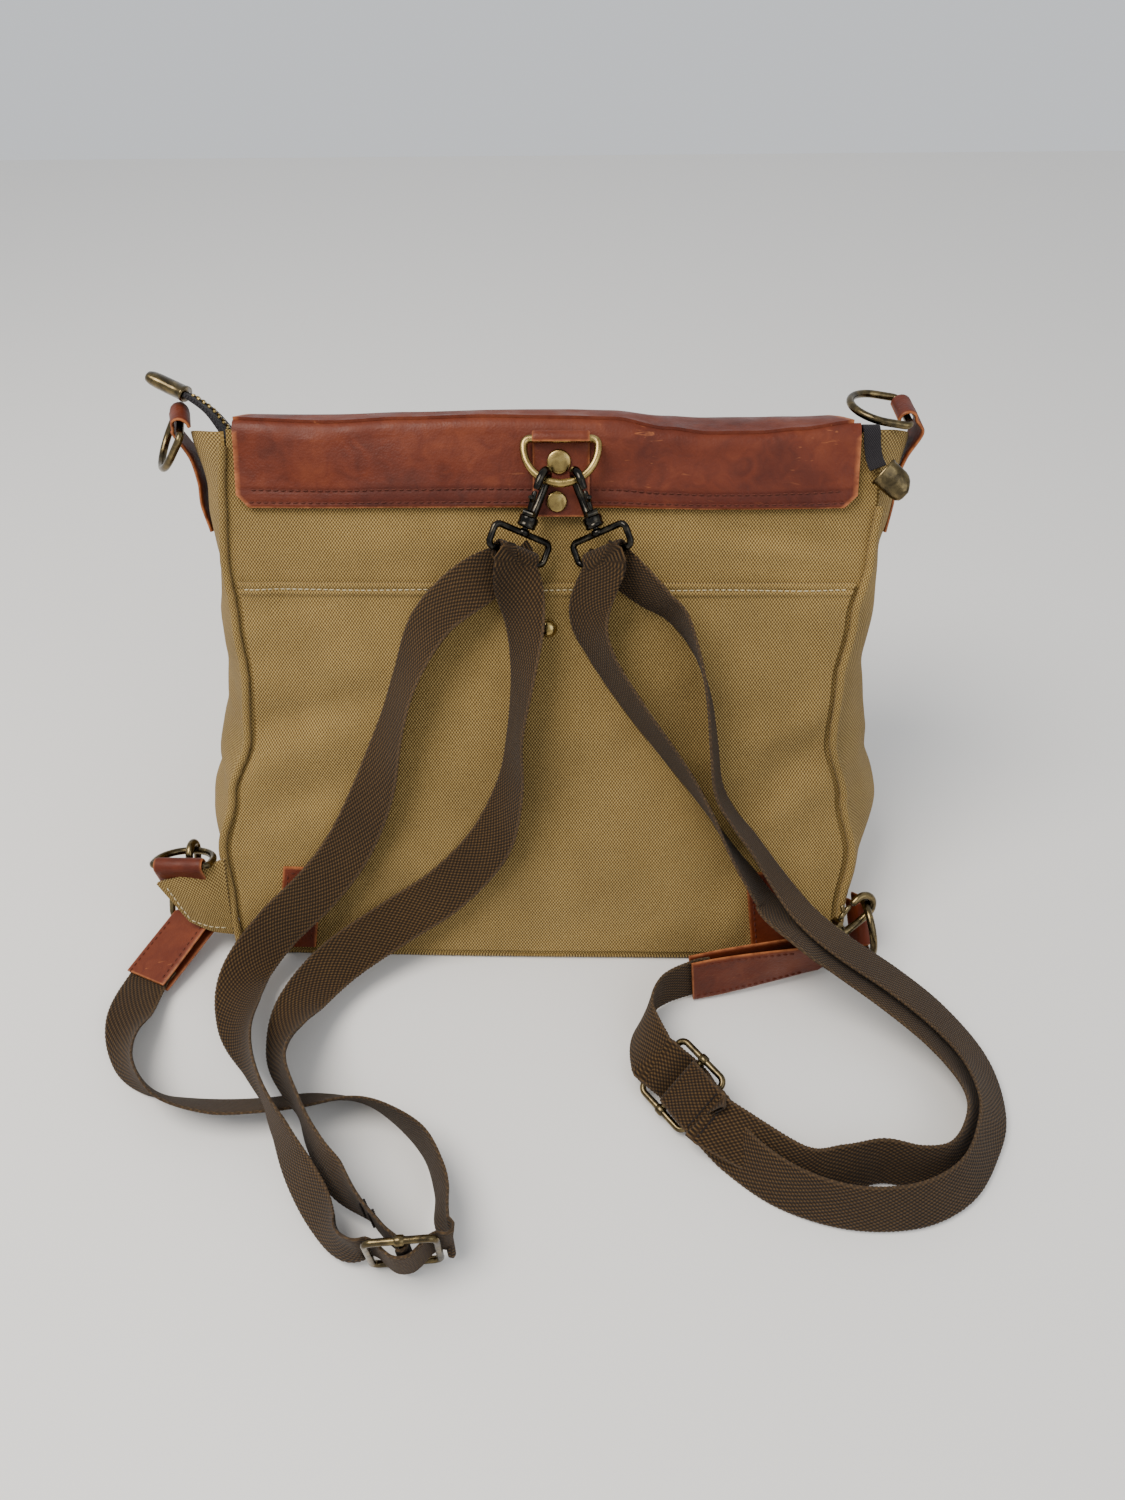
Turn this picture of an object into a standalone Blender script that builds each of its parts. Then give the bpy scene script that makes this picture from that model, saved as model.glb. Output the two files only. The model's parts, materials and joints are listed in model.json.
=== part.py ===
"""Canvas and leather messenger bag that converts to a backpack, standing on its base and leaning back.

Metres, +Z up. The origin is the middle of the base, on the floor. The back panel, which carries the
straps and faces -Y, leans back towards +Y. The flap opens over the back panel's top edge.
"""
import math

import bmesh
import bpy
import numpy as np
from mathutils import Matrix, Vector

MM = 0.001

# Driving dimensions of the bag
LEAN = math.radians(27.0)
BACK_EDGE_Y = -65 * MM
FRONT_EDGE_Y = 72 * MM
PANEL_HEIGHT = 272 * MM
MOUTH_DEPTH = 46 * MM
CANVAS = 1.6 * MM
LINING = 0.8 * MM
LEATHER = 2.0 * MM
GAP = 0.35 * MM
WALL_START = 3.0 * MM
BACK_BULGE = 4.0 * MM
FRONT_BULGE = 12.0 * MM
FRONT_HALF = 150 * MM

# Half widths of the back panel at its two seams, and how far each gusset stands outside its seam,
# from the base up to the mouth
SEAM_LEFT = (161, 164, 167, 160, 150, 149, 152, 155, 154, 152)
SEAM_RIGHT = (152, 154, 158, 152, 145, 147, 152, 158, 161, 158)
GUSSET_OUT = (12, 24, 27, 25, 23, 22, 20, 17, 18, 26)

LEVELS = 12
BACK_COLUMNS = 10
GUSSET_COLUMNS = 7

# Hardware
WEBBING_WIDTH = 25 * MM
WEBBING_THICK = 1.6 * MM
RING_WIRE = 1.9 * MM
HOOK_WIRE = 1.8 * MM

UP_PANEL = Vector((0, math.sin(LEAN), math.cos(LEAN)))
OUT_PANEL = Vector((0, -math.cos(LEAN), math.sin(LEAN)))
ACROSS_MOUTH = Vector((0, math.cos(LEAN), -math.sin(LEAN)))
X_AXIS = Vector((1, 0, 0))
Z_AXIS = Vector((0, 0, 1))


# ---------------------------------------------------------------- scene, materials and objects
def clear_scene():
    for obj in list(bpy.data.objects):
        bpy.data.objects.remove(obj, do_unlink=True)


def new_collection(name):
    collection = bpy.data.collections.new(name)
    bpy.context.scene.collection.children.link(collection)
    return collection


def make_material(name, colour, roughness, metallic=0.0):
    material = bpy.data.materials.new(name)
    material.use_nodes = True
    shader = material.node_tree.nodes["Principled BSDF"]
    shader.inputs["Base Color"].default_value = (*colour, 1.0)
    shader.inputs["Roughness"].default_value = roughness
    shader.inputs["Metallic"].default_value = metallic
    return material


clear_scene()
PARTS = new_collection("messenger_bag")
MATERIALS = {
    "canvas": make_material("canvas", (0.42, 0.31, 0.15), 0.9),
    "lining": make_material("lining", (0.11, 0.08, 0.05), 0.85),
    "board": make_material("board", (0.06, 0.06, 0.06), 0.7),
    "leather": make_material("leather", (0.27, 0.075, 0.03), 0.5),
    "webbing": make_material("webbing", (0.11, 0.075, 0.05), 0.9),
    "zip_tape": make_material("zip_tape", (0.015, 0.013, 0.015), 0.8),
    "brass": make_material("brass", (0.45, 0.32, 0.12), 0.35, 1.0),
    "gunmetal": make_material("gunmetal", (0.10, 0.09, 0.07), 0.35, 1.0),
}


def place(name, mesh, slot):
    """Links a mesh as the named object, shaded smooth with its sharp edges kept."""
    obj = bpy.data.objects.new(name, mesh)
    PARTS.objects.link(obj)
    mesh.materials.clear()
    mesh.materials.append(MATERIALS[slot])
    mesh.shade_smooth()
    mesh.set_sharp_from_angle(angle=math.radians(40))
    return obj


def mesh_from_bmesh(name, bm):
    bmesh.ops.recalc_face_normals(bm, faces=bm.faces)
    mesh = bpy.data.meshes.new(name)
    bm.to_mesh(mesh)
    bm.free()
    return mesh


def join_pieces(target, extra):
    """Fuses the second object into the first, and removes the second."""
    union = target.modifiers.new("union", "BOOLEAN")
    union.operation = "UNION"
    union.object = extra
    apply_modifiers(target)
    bpy.data.objects.remove(extra, do_unlink=True)
    return target


def apply_modifiers(obj):
    graph = bpy.context.evaluated_depsgraph_get()
    graph.update()
    mesh = bpy.data.meshes.new_from_object(obj.evaluated_get(graph))
    obj.modifiers.clear()
    obj.data = mesh
    mesh.shade_smooth()
    mesh.set_sharp_from_angle(angle=math.radians(40))


def move_origin(obj, point):
    """Puts the object's origin on its joint axis without moving its surface."""
    offset = Vector(point)
    obj.data.transform(Matrix.Translation(-offset))
    obj.location = offset


# ---------------------------------------------------------------- general shapes
def smooth_path(points, samples):
    """Catmull-Rom curve through the points, with the given number of steps in each span."""
    pts = [Vector(p) for p in points]
    pts = [2 * pts[0] - pts[1]] + pts + [2 * pts[-1] - pts[-2]]
    result = []
    for i in range(1, len(pts) - 2):
        a, b, c, d = pts[i - 1], pts[i], pts[i + 1], pts[i + 2]
        for k in range(samples):
            t = k / samples
            result.append(0.5 * ((2 * b) + (c - a) * t + (2 * a - 5 * b + 4 * c - d) * t * t
                                 + (3 * b - a - 3 * c + d) * t ** 3))
    result.append(pts[-2])
    return result


def ribbon(name, points, widths, thickness, slot, width=WEBBING_WIDTH, samples=2):
    """A flat strap: a rectangle lofted along a curve. widths holds the width direction at each
    point, or one direction for all of them, and width may be one number or one for each point."""
    if isinstance(widths, Vector):
        widths = [widths] * len(points)
    if not hasattr(width, "__len__"):
        width = [width] * len(points)
    path = smooth_path(points, samples)
    across = smooth_path(widths, samples)
    breadth = smooth_path([(w, 0, 0) for w in width], samples)
    bm = bmesh.new()
    rings = []
    for i, centre in enumerate(path):
        ahead = path[min(i + 1, len(path) - 1)]
        behind = path[max(i - 1, 0)]
        tangent = (ahead - behind).normalized()
        side = across[i] - tangent * across[i].dot(tangent)
        side.normalize()
        normal = tangent.cross(side)
        half = breadth[i].x / 2
        corners = ((-half, -thickness / 2), (half, -thickness / 2), (half, thickness / 2), (-half, thickness / 2))
        rings.append([bm.verts.new(centre + side * a + normal * b) for a, b in corners])
    # Both wide faces are split along the same diagonal, so that a twist never passes one through the other
    for lower, upper in zip(rings, rings[1:]):
        for k in range(4):
            near, far = (k, (k + 1) % 4) if k < 2 else ((k + 1) % 4, k)
            first = (lower[near], lower[far], upper[far])
            second = (lower[near], upper[far], upper[near])
            for corners in (first, second):
                bm.faces.new(corners if k < 2 else corners[::-1])
    bm.faces.new(rings[0])
    bm.faces.new(reversed(rings[-1]))
    return place(name, mesh_from_bmesh(name, bm), slot)


def wire(name, points, radius, slot, closed=False, resolution=2):
    """A round wire along the points, as a mesh."""
    curve = bpy.data.curves.new(name, "CURVE")
    curve.dimensions = "3D"
    curve.bevel_depth = radius
    curve.bevel_resolution = resolution
    curve.use_fill_caps = True
    spline = curve.splines.new("POLY")
    spline.points.add(len(points) - 1)
    for target, point in zip(spline.points, points):
        target.co = (*point, 1.0)
    spline.use_cyclic_u = closed
    temporary = bpy.data.objects.new(name + "_curve", curve)
    bpy.context.scene.collection.objects.link(temporary)
    graph = bpy.context.evaluated_depsgraph_get()
    mesh = bpy.data.meshes.new_from_object(temporary.evaluated_get(graph))
    bpy.data.objects.remove(temporary, do_unlink=True)
    bm = bmesh.new()
    bm.from_mesh(mesh)
    bmesh.ops.remove_doubles(bm, verts=bm.verts, dist=0.00001)
    return place(name, mesh_from_bmesh(name, bm), slot)


def turned(name, profile, slot, frame, steps=20):
    """A turned piece: a closed (radius, height) profile run round the frame's Z axis."""
    bm = bmesh.new()
    rings = []
    for k in range(steps):
        angle = 2 * math.pi * k / steps
        rings.append([bm.verts.new(frame @ Vector((r * math.cos(angle), r * math.sin(angle), z)))
                      for r, z in profile])
    for k in range(steps):
        here, there = rings[k], rings[(k + 1) % steps]
        for i in range(len(profile)):
            j = (i + 1) % len(profile)
            bm.faces.new((here[i], there[i], there[j], here[j]))
    bmesh.ops.remove_doubles(bm, verts=bm.verts, dist=0.00001)
    bmesh.ops.dissolve_degenerate(bm, edges=bm.edges, dist=0.00001)
    return place(name, mesh_from_bmesh(name, bm), slot)


def box(name, size, slot, frame, bevel=0.0):
    bm = bmesh.new()
    bmesh.ops.create_cube(bm, size=1.0)
    bmesh.ops.scale(bm, vec=size, verts=bm.verts)
    if bevel:
        bmesh.ops.bevel(bm, geom=list(bm.edges), offset=bevel, segments=2, affect="EDGES", profile=0.5)
    bmesh.ops.transform(bm, matrix=frame, verts=bm.verts)
    return place(name, mesh_from_bmesh(name, bm), slot)


def frame_at(origin, x_axis, z_axis):
    """A right-handed frame with the given Z axis, and X as near as it can be to x_axis."""
    z = Vector(z_axis).normalized()
    x = Vector(x_axis) - z * Vector(x_axis).dot(z)
    x.normalize()
    y = z.cross(x)
    matrix = Matrix((x, y, z)).transposed().to_4x4()
    matrix.translation = Vector(origin)
    return matrix


def sheet(name, rows, thickness, slot, closed=False, floor=False):
    """A sheet through rows of points with Solidify's thickness on its inner side."""
    bm = bmesh.new()
    grid = [[bm.verts.new(p) for p in row] for row in rows]
    count = len(rows[0])
    for low, high in zip(grid, grid[1:]):
        for k in range(count if closed else count - 1):
            j = (k + 1) % count
            bm.faces.new((low[k], low[j], high[j], high[k]))
    if floor:
        bm.faces.new(list(reversed(grid[0])))
    mesh = bpy.data.meshes.new(name)
    bm.to_mesh(mesh)
    bm.free()
    obj = place(name, mesh, slot)
    solid = obj.modifiers.new("thickness", "SOLIDIFY")
    solid.thickness = thickness
    solid.offset = -1.0
    solid.use_even_offset = False
    return obj


# ---------------------------------------------------------------- the bag's own surface
def along(values, t):
    """Smooth value at the fraction t of a list of evenly spaced values, in millimetres."""
    position = t * (len(values) - 1)
    i = min(int(position), len(values) - 2)
    f = position - i
    eased = f * f * (3 - 2 * f)
    return (values[i] * (1 - eased) + values[i + 1] * eased) * MM


def back_line(t):
    """Point of the back panel's middle line, without its bulge, at the fraction t of its height."""
    return Vector((0, BACK_EDGE_Y, 0)) + UP_PANEL * (t * PANEL_HEIGHT)


def front_line(t):
    top = back_line(1.0) + ACROSS_MOUTH * MOUTH_DEPTH
    foot = Vector((0, FRONT_EDGE_Y, 0))
    return foot.lerp(top, t) + Vector((0, FRONT_BULGE * math.sin(math.pi * t ** 0.7), 0))


def back_bulge(x, t):
    half = 150 * MM
    return BACK_BULGE * math.sin(math.pi * min(1.0, 0.12 + 0.88 * t)) * max(0.0, 1 - (x / half) ** 2)


def on_back(x, height, out=0.0):
    """Point over the back panel: x across, height up along the panel, out away from its face."""
    t = height / PANEL_HEIGHT
    point = back_line(t) + OUT_PANEL * (back_bulge(x, t) + out)
    return Vector((x, point.y, point.z))


def section(t, inset):
    """The bag's cross-section at the fraction t of its height, as (across, s) parts."""
    start, end = back_line(t), front_line(t)
    depth = (end - start).length
    direction = (end - start).normalized()
    left, right = along(SEAM_LEFT, t), along(SEAM_RIGHT, t)
    out = along(GUSSET_OUT, t)

    def point(x, s):
        p = start + direction * s
        return Vector((x, p.y, p.z))

    def gusset(side, fraction):
        seam = left if side < 0 else right
        s = inset + (depth - 2 * inset) * fraction
        v = s / depth
        x = seam * (1 - v) + FRONT_HALF * v + out * math.sin(math.pi * v)
        return point(side * (x - inset), s)

    return point, gusset, depth, left, right


def level_fractions():
    """Heights of the wall's rings, closer together at the base."""
    lowest = WALL_START / (PANEL_HEIGHT * math.cos(LEAN))
    return [lowest + (1 - lowest) * (k / (LEVELS - 1)) for k in range(LEVELS)]


def back_row(t, inset):
    point, _, _, left, right = section(t, inset)
    row = []
    for k in range(BACK_COLUMNS + 1):
        u = k / BACK_COLUMNS
        x = -(left - inset) + (left + right - 2 * inset) * u
        row.append(point(x, inset) + OUT_PANEL * back_bulge(x, t))
    return row


def front_row(t, inset):
    point, _, depth, _, _ = section(t, inset)
    row = []
    for k in range(BACK_COLUMNS + 1):
        x = (FRONT_HALF - inset) * (1 - 2 * k / BACK_COLUMNS)
        swell = FRONT_BULGE * 0.4 * (1 - (x / FRONT_HALF) ** 2)
        row.append(point(x, depth - inset) + Vector((0, swell, 0)))
    return row


def gusset_row(t, inset, side, clearance):
    _, gusset, depth, _, _ = section(t, inset)
    margin = clearance / (depth - 2 * inset)
    steps = [margin + (1 - 2 * margin) * k / GUSSET_COLUMNS for k in range(GUSSET_COLUMNS + 1)]
    row = [gusset(side, v) for v in steps]
    return row if side > 0 else list(reversed(row))


def closed_ring(t, inset):
    """The whole outline at one height: back, right gusset, front and left gusset."""
    return (back_row(t, inset) + gusset_row(t, inset, 1, 0.0)[1:-1] + front_row(t, inset)
            + gusset_row(t, inset, -1, 0.0)[1:-1])


def flat_plate(name, inset, bottom, thickness, slot):
    """A plate with the outline of the bag's base."""
    outline = closed_ring(0.0, inset)
    bm = bmesh.new()
    ring = [bm.verts.new((p.x, p.y, bottom)) for p in outline]
    face = bm.faces.new(ring)
    lifted = bmesh.ops.extrude_face_region(bm, geom=[face])
    raised = [v for v in lifted["geom"] if isinstance(v, bmesh.types.BMVert)]
    bmesh.ops.translate(bm, vec=(0, 0, thickness), verts=raised)
    return place(name, mesh_from_bmesh(name, bm), slot)


def build_body():
    heights = level_fractions()
    clear = CANVAS + GAP
    sheet("back_panel", [back_row(t, 0.0) for t in heights], CANVAS, "canvas")
    sheet("front_panel", [front_row(t, 0.0) for t in heights], CANVAS, "canvas")
    sheet("gusset_right", [gusset_row(t, 0.0, 1, clear) for t in heights], CANVAS, "canvas")
    sheet("gusset_left", [gusset_row(t, 0.0, -1, clear) for t in heights], CANVAS, "canvas")
    flat_plate("bottom_panel", 0.0, 0.0, CANVAS, "canvas")
    flat_plate("base_board", 5 * MM, CANVAS + GAP, 2.0 * MM, "board")
    lining_floor = CANVAS + 2 * GAP + 2.8 * MM
    first = lining_floor / (PANEL_HEIGHT * math.cos(LEAN))
    rings = [closed_ring(first + (0.985 - first) * k / (LEVELS - 1), 4.2 * MM) for k in range(LEVELS)]
    rings[0] = [Vector((p.x, p.y, lining_floor)) for p in rings[0]]
    sheet("lining", rings, LINING, "lining", closed=True, floor=True)


def build_welts():
    """Piping that covers each back seam."""
    radius = 2.0 * MM
    for side, name, top in ((-1, "seam_welt_left", 0.97), (1, "seam_welt_right", 0.86)):
        seam = SEAM_LEFT if side < 0 else SEAM_RIGHT
        points = []
        for k in range(15):
            t = 0.02 + (top - 0.02) * k / 14
            x = side * (along(seam, t) + 2.0 * MM)
            line = back_line(t) + OUT_PANEL * (2.1 * MM)
            points.append(Vector((x, line.y, line.z)))
        wire(name, points, radius, "canvas")


def back_sheet(name, outline_rows, out, thickness, slot):
    """A sheet that lies over the back panel. Each row is (height, left x, right x)."""
    rows = []
    for height, left, right in outline_rows:
        columns = 10
        rows.append([on_back(left + (right - left) * k / columns, height, out + thickness)
                     for k in range(columns + 1)])
    return sheet(name, rows, thickness, slot)


POCKET_TOP = 200 * MM
STRIP_FOOT = 236 * MM
STRIP_TOP = 269 * MM
STRIP_OUT = 1.9 * MM


def build_back_details():
    rows = []
    for k in range(9):
        height = 6 * MM + (POCKET_TOP - 6 * MM) * k / 8
        t = height / PANEL_HEIGHT
        rows.append((height, -along(SEAM_LEFT, t) + 3.5 * MM, along(SEAM_RIGHT, t) - 3.5 * MM))
    back_sheet("back_pocket", rows, 0.5 * MM, CANVAS, "canvas")
    snap = frame_at(on_back(3 * MM, 178 * MM, 0.5 * MM + CANVAS + 0.3 * MM), X_AXIS, OUT_PANEL)
    dome = [(0, 0), (4.3, 0), (4.3, 0.8), (3.4, 2.2), (1.8, 3.0), (0, 3.3)]
    turned("back_pocket_snap", [(r * MM, z * MM) for r, z in dome], "brass", snap, 16)
    corner = 6 * MM
    strip = [(STRIP_FOOT, -148 * MM + corner, 151 * MM - corner), (STRIP_FOOT + corner, -148 * MM, 151 * MM),
             (STRIP_FOOT + 2.5 * corner, -148 * MM, 151 * MM), (STRIP_TOP, -146 * MM, 151 * MM)]
    back_sheet("flap_back_strip", strip, STRIP_OUT, LEATHER, "leather")
    for side, name in ((-1, "lower_patch_left"), (1, "lower_patch_right")):
        centre = -129 * MM if side < 0 else 117 * MM
        half = 10 * MM
        patch = [(h * MM, centre - half - side * (h - 30) * 0.12 * MM, centre + half - side * (h - 30) * 0.12 * MM)
                 for h in (7, 20, 35, 52)]
        back_sheet(name, patch, 0.5 * MM + CANVAS + 0.4 * MM, 1.6 * MM, "leather")


# ---------------------------------------------------------------- rings, rivets and hooks
def d_ring(name, frame, half_bar, reach, slot, radius=RING_WIRE):
    """A D-ring. Its straight bar lies on the frame's X axis, and its bow reaches to +Z."""
    corner = 3.2 * MM
    points = [(-half_bar + corner, 0), (half_bar - corner, 0), (half_bar - 0.3 * corner, 0.3 * corner)]
    points.append((half_bar, corner))
    centre = max(reach - half_bar, corner + 0.5 * MM)
    for k in range(13):
        angle = math.pi * k / 12
        points.append((half_bar * math.cos(angle), centre + (reach - centre) * math.sin(angle)))
    points.append((-half_bar, corner))
    points.append((-half_bar + 0.3 * corner, 0.3 * corner))
    return wire(name, [frame @ Vector((x, 0, z)) for x, z in points], radius, slot, closed=True)


def rivet(name, point, normal, radius):
    profile = [(0, 0), (radius, 0), (radius, 0.9 * MM), (radius - 0.6 * MM, 1.4 * MM), (0, 1.5 * MM)]
    return turned(name, profile, "brass", frame_at(point, X_AXIS, normal), 20)


def leather_loop(name, frame, bore, thickness, tail_a, tail_b, width):
    """A strap folded round a bar. The bar lies on the frame's X axis; the two tails run to -Z."""
    radius = bore + thickness / 2
    points = [(-radius, -tail_a), (-radius, -tail_a * 0.5), (-radius, -1 * MM)]
    for k in range(7):
        angle = math.pi - math.pi * k / 6
        points.append((radius * math.cos(angle), radius * math.sin(angle)))
    points += [(radius, -1 * MM), (radius, -tail_b * 0.5), (radius, -tail_b)]
    path = [frame @ Vector((0, a, z)) for a, z in points]
    across = frame.to_3x3() @ X_AXIS
    return ribbon(name, path, across, thickness, "leather", width=width, samples=1)


def hook_parts(prefix, frame, eye_turn):
    """A swivel snap hook: its body, gate and eye. The frame's origin is the foot of the barrel, +Z
    runs to the hook's bow, and the open side faces -X. Returns the body."""
    barrel_profile = [(1.9, 0), (4.2, 0), (4.6, 0.6), (4.6, 5.4), (4.2, 6.0), (1.9, 6.0)]
    body = turned(prefix + "_body", [(r * MM, z * MM) for r, z in barrel_profile], "gunmetal", frame, 16)
    bow = 6.3
    crown = 22.0
    path = [(4.9, 3.4), (5.2, 9), (6.0, 14), (bow, 18)]
    path += [(bow * math.cos(math.pi * k / 9), crown + bow * math.sin(math.pi * k / 9)) for k in range(10)]
    path += [(-bow, 18.0)]
    arm = wire(prefix + "_arm", [frame @ Vector((x * MM, 0, z * MM)) for x, z in path], HOOK_WIRE, "gunmetal")
    join_pieces(body, arm)

    pivot = Vector((-4.6, 0, 8.0))
    gate_path = [(-4.6, 7.7), (-5.2, 11), (-6.1, 14.5), (-6.3, 17.4)]
    gate_line = [frame @ Vector((x * MM, 0, z * MM)) for x, z in gate_path]
    gate = wire(prefix + "_gate", gate_line, 1.25 * MM, "gunmetal")
    knob = box(prefix + "_knob", (4.5 * MM, 2.4 * MM, 1.8 * MM), "gunmetal",
               frame @ Matrix.Translation(Vector((-8.0, 0, 12.6)) * MM), 0.4 * MM)
    join_pieces(gate, knob)
    move_origin(gate, frame @ (pivot * MM))

    turn = frame @ Matrix.Rotation(eye_turn, 4, "Z")
    stem_profile = [(0, -3.4), (1.4, -3.4), (1.4, 6.4), (2.4, 6.4), (2.4, 8.0), (0, 8.0)]
    eye = turned(prefix + "_eye", [(r * MM, z * MM) for r, z in stem_profile], "gunmetal", turn, 12)
    half, high, low, corner = 15.8, -2.6, -13.6, 2.8
    loop = []
    for cx, cz, start in ((half - corner, high - corner, 0), (-half + corner, high - corner, 90),
                          (-half + corner, low + corner, 180), (half - corner, low + corner, 270)):
        for k in range(4):
            angle = math.radians(start + 30 * k)
            loop.append((cx + corner * math.cos(angle), cz + corner * math.sin(angle)))
    ring = wire(prefix + "_eye_loop", [turn @ Vector((x * MM, 0, z * MM)) for x, z in loop], 1.6 * MM, "gunmetal",
                closed=True)
    join_pieces(eye, ring)
    return body


RING_TILT = math.radians(19)
CENTRE_X = 9.5 * MM
CENTRE_BAR = on_back(CENTRE_X, 268 * MM, 8.6 * MM)


def build_centre_hardware():
    """The tab with its D-ring at the middle of the top edge, and the two hooks clipped to it."""
    lean_out = OUT_PANEL * math.sin(RING_TILT) - UP_PANEL * math.cos(RING_TILT)
    d_ring("centre_ring", frame_at(CENTRE_BAR, X_AXIS, lean_out), 17.6 * MM, 21.5 * MM, "brass")
    bore = RING_WIRE + GAP
    fold = frame_at(CENTRE_BAR, X_AXIS, UP_PANEL)
    radius = bore + 0.9 * MM
    points = []
    for k in range(7):
        angle = math.radians(-20 + 200 * k / 6)
        points.append((radius * math.cos(angle), radius * math.sin(angle)))
    # the fold's front leg is short; its back leg runs down the strip to the tab's end
    path = [fold @ Vector((0, -y, z)) for y, z in points]
    path.append(on_back(CENTRE_X, 262 * MM, 5.3 * MM))
    path.append(on_back(CENTRE_X, 256 * MM, 5.1 * MM))
    path.append(on_back(CENTRE_X, 246 * MM, 5.1 * MM))
    path.append(on_back(CENTRE_X, 232 * MM, 5.1 * MM))
    ribbon("centre_tab", path, X_AXIS, 1.7 * MM, "leather", width=27 * MM, samples=1)
    rivet("centre_rivet_top", on_back(CENTRE_X - 1 * MM, 257.5 * MM, 6.3 * MM), OUT_PANEL, 5.8 * MM)
    rivet("centre_rivet_bottom", on_back(CENTRE_X - 2 * MM, 239 * MM, 6.3 * MM), OUT_PANEL, 5.0 * MM)


def top_hook_frame(side):
    """The frame of a hook that hangs from the centre ring and leans away from the middle."""
    foot = on_back(CENTRE_X + side * 16.5 * MM, 227.1 * MM, 16.2 * MM)
    tip = on_back(CENTRE_X + side * 6.0 * MM, 254.4 * MM, 13.8 * MM)
    toward = OUT_PANEL + X_AXIS * side * 0.25
    return frame_at(foot, -toward, tip - foot)


TOP_EYE_TURN = math.radians(45)


def eye_bar(frame, turn):
    """Centre and direction of the lower bar of a hook's eye."""
    turned_frame = frame @ Matrix.Rotation(turn, 4, "Z")
    return turned_frame @ Vector((0, 0, -13.6 * MM)), turned_frame.to_3x3() @ X_AXIS


# ---------------------------------------------------------------- straps
SLIDER_LEFT = Vector((-52, -233, 18.5)) * MM
SLIDER_LEFT_ALONG = Vector((-0.99, -0.10, 0.0))
SLIDER_LEFT_WIDTH = Vector((0.25, -0.15, 0.95))
SLIDER_RIGHT = Vector((68, -150, 14)) * MM
SLIDER_RIGHT_ALONG = Vector((0.62, -0.76, -0.04))
SLIDER_RIGHT_WIDTH = Vector((0.62, 0.52, 0.58))

# Where the free webbing threads the slider, as (along, out) from its centre bar in millimetres
THREAD = ((-20, -3.5), (-14.5, -3.2), (-10.6, -1.4), (-7.6, 1.6), (-3.8, 4.6), (0, 5.4), (3.8, 4.6),
          (7.6, 1.6), (10.6, -1.4), (14.5, -3.2), (20, -3.4))
SEWN_TURN = ((1.4, -2.85), (-1.2, -2.5), (-2.7, -0.6), (-2.2, 1.6), (0, 2.75), (1.8, 2.2))
SEWN_LEFT = ((16, -18), (11, -12), (7.6, -8.0), (4.6, -5.2)) + SEWN_TURN
SEWN_RIGHT = ((25, -6.8), (20, -6.8), (14.5, -6.5), (9.6, -5.6), (4.8, -4.0)) + SEWN_TURN

# Free stretches of the straps, as (x, y, z) centres and (x, y, z) width directions, in millimetres
LEFT_TAIL = (
    ((-188.5, -52, 14), (0.9, -0.35, 0.1)), ((-196, -70, 9), (0.9, -0.35, 0.1)),
    ((-206, -88, 7), (0.9, -0.35, 0.15)), ((-207, -110, 9.5), (0.97, 0.24, 0.10)),
    ((-202, -133, 12), (0.59, 0.28, 0.76)), ((-190, -150, 13.3), (0.06, 0, 1)),
    ((-174, -159, 11.7), (-0.05, -0.5, 0.86)), ((-151, -162, 9.6), (0, -0.7, 0.71)),
    ((-129, -161, 9.5), (0, -0.72, 0.69)), ((-107, -158, 9.6), (0, -0.7, 0.71)),
    ((-85, -159, 12), (-0.1, -0.45, 0.88)), ((-67, -167, 13.3), (-0.15, -0.12, 0.98)),
    ((-50, -181, 13.4), (0.03, 0.09, 1)), ((-41, -199, 14), (0.2, 0.1, 0.97)),
    ((-38, -214, 16), (0.3, 0.05, 0.95)))
LEFT_OUTER = (
    ((-82, -226, 15.5), (0.2, 0.1, 0.97)), ((-92, -213, 15), (0.4, 0.25, 0.88)),
    ((-103, -198, 18), (0.5, 0.09, 0.86)), ((-113, -183, 26), (0.35, -0.1, 0.93)),
    ((-123, -168, 32.5), (0.06, 0.01, 1)), ((-136, -145, 27.5), (0.2, 0.33, 0.92)),
    ((-149, -116, 19), (0.86, 0.32, 0.4)), ((-152, -90, 17), (0.96, -0.17, -0.2)),
    ((-139, -70, 27), (0.77, -0.46, -0.43)), ((-116, -57, 46), (0.74, -0.49, -0.46)),
    ((-99, -46, 66), (0.83, -0.44, -0.34)), ((-85, -34, 93.5), (0.82, -0.57, -0.11)),
    ((-75, -22, 123), (0.58, -0.8, 0.16)), ((-67, -11, 145.5), (0.55, -0.81, 0.21)),
    ((-56, 1, 167), (0.7, -0.71, -0.07)), ((-42, 9, 180), (0.75, -0.6, -0.28)))
LEFT_INNER = (
    ((-8, 2, 170), (0.8, -0.54, 0.26)), ((-9, -10, 148), (0.51, -0.77, 0.37)),
    ((-13, -24, 122), (0.35, -0.86, 0.38)), ((-16, -36, 96), (0.55, -0.81, 0.19)),
    ((-27, -46, 68), (0.72, -0.65, -0.24)), ((-50, -56, 44), (0.61, -0.62, -0.49)),
    ((-77, -65, 28), (0.56, -0.64, -0.53)), ((-104, -84, 20), (0.71, -0.61, -0.37)),
    ((-119, -107, 18), (0.94, -0.34, 0.02)), ((-122, -131, 22), (0.8, 0.2, 0.57)),
    ((-116, -157, 31.5), (0.17, 0.28, 0.95)), ((-105, -175, 32.5), (0.11, -0.08, 0.99)),
    ((-96, -190, 26.5), (0.37, -0.2, 0.91)), ((-85, -203, 21.5), (0.45, -0.07, 0.89)))
RIGHT_TAIL = (
    ((139, -74.5, 18), (0, 0.1, 1)), ((98, -86, 14), (0, 0.1, 1)), ((76, -88, 14), (0, 0.1, 1)),
    ((60, -97, 14), (0.1, 0.1, 1)), ((51, -115, 14), (0.4, 0.3, 0.85)))
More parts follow.
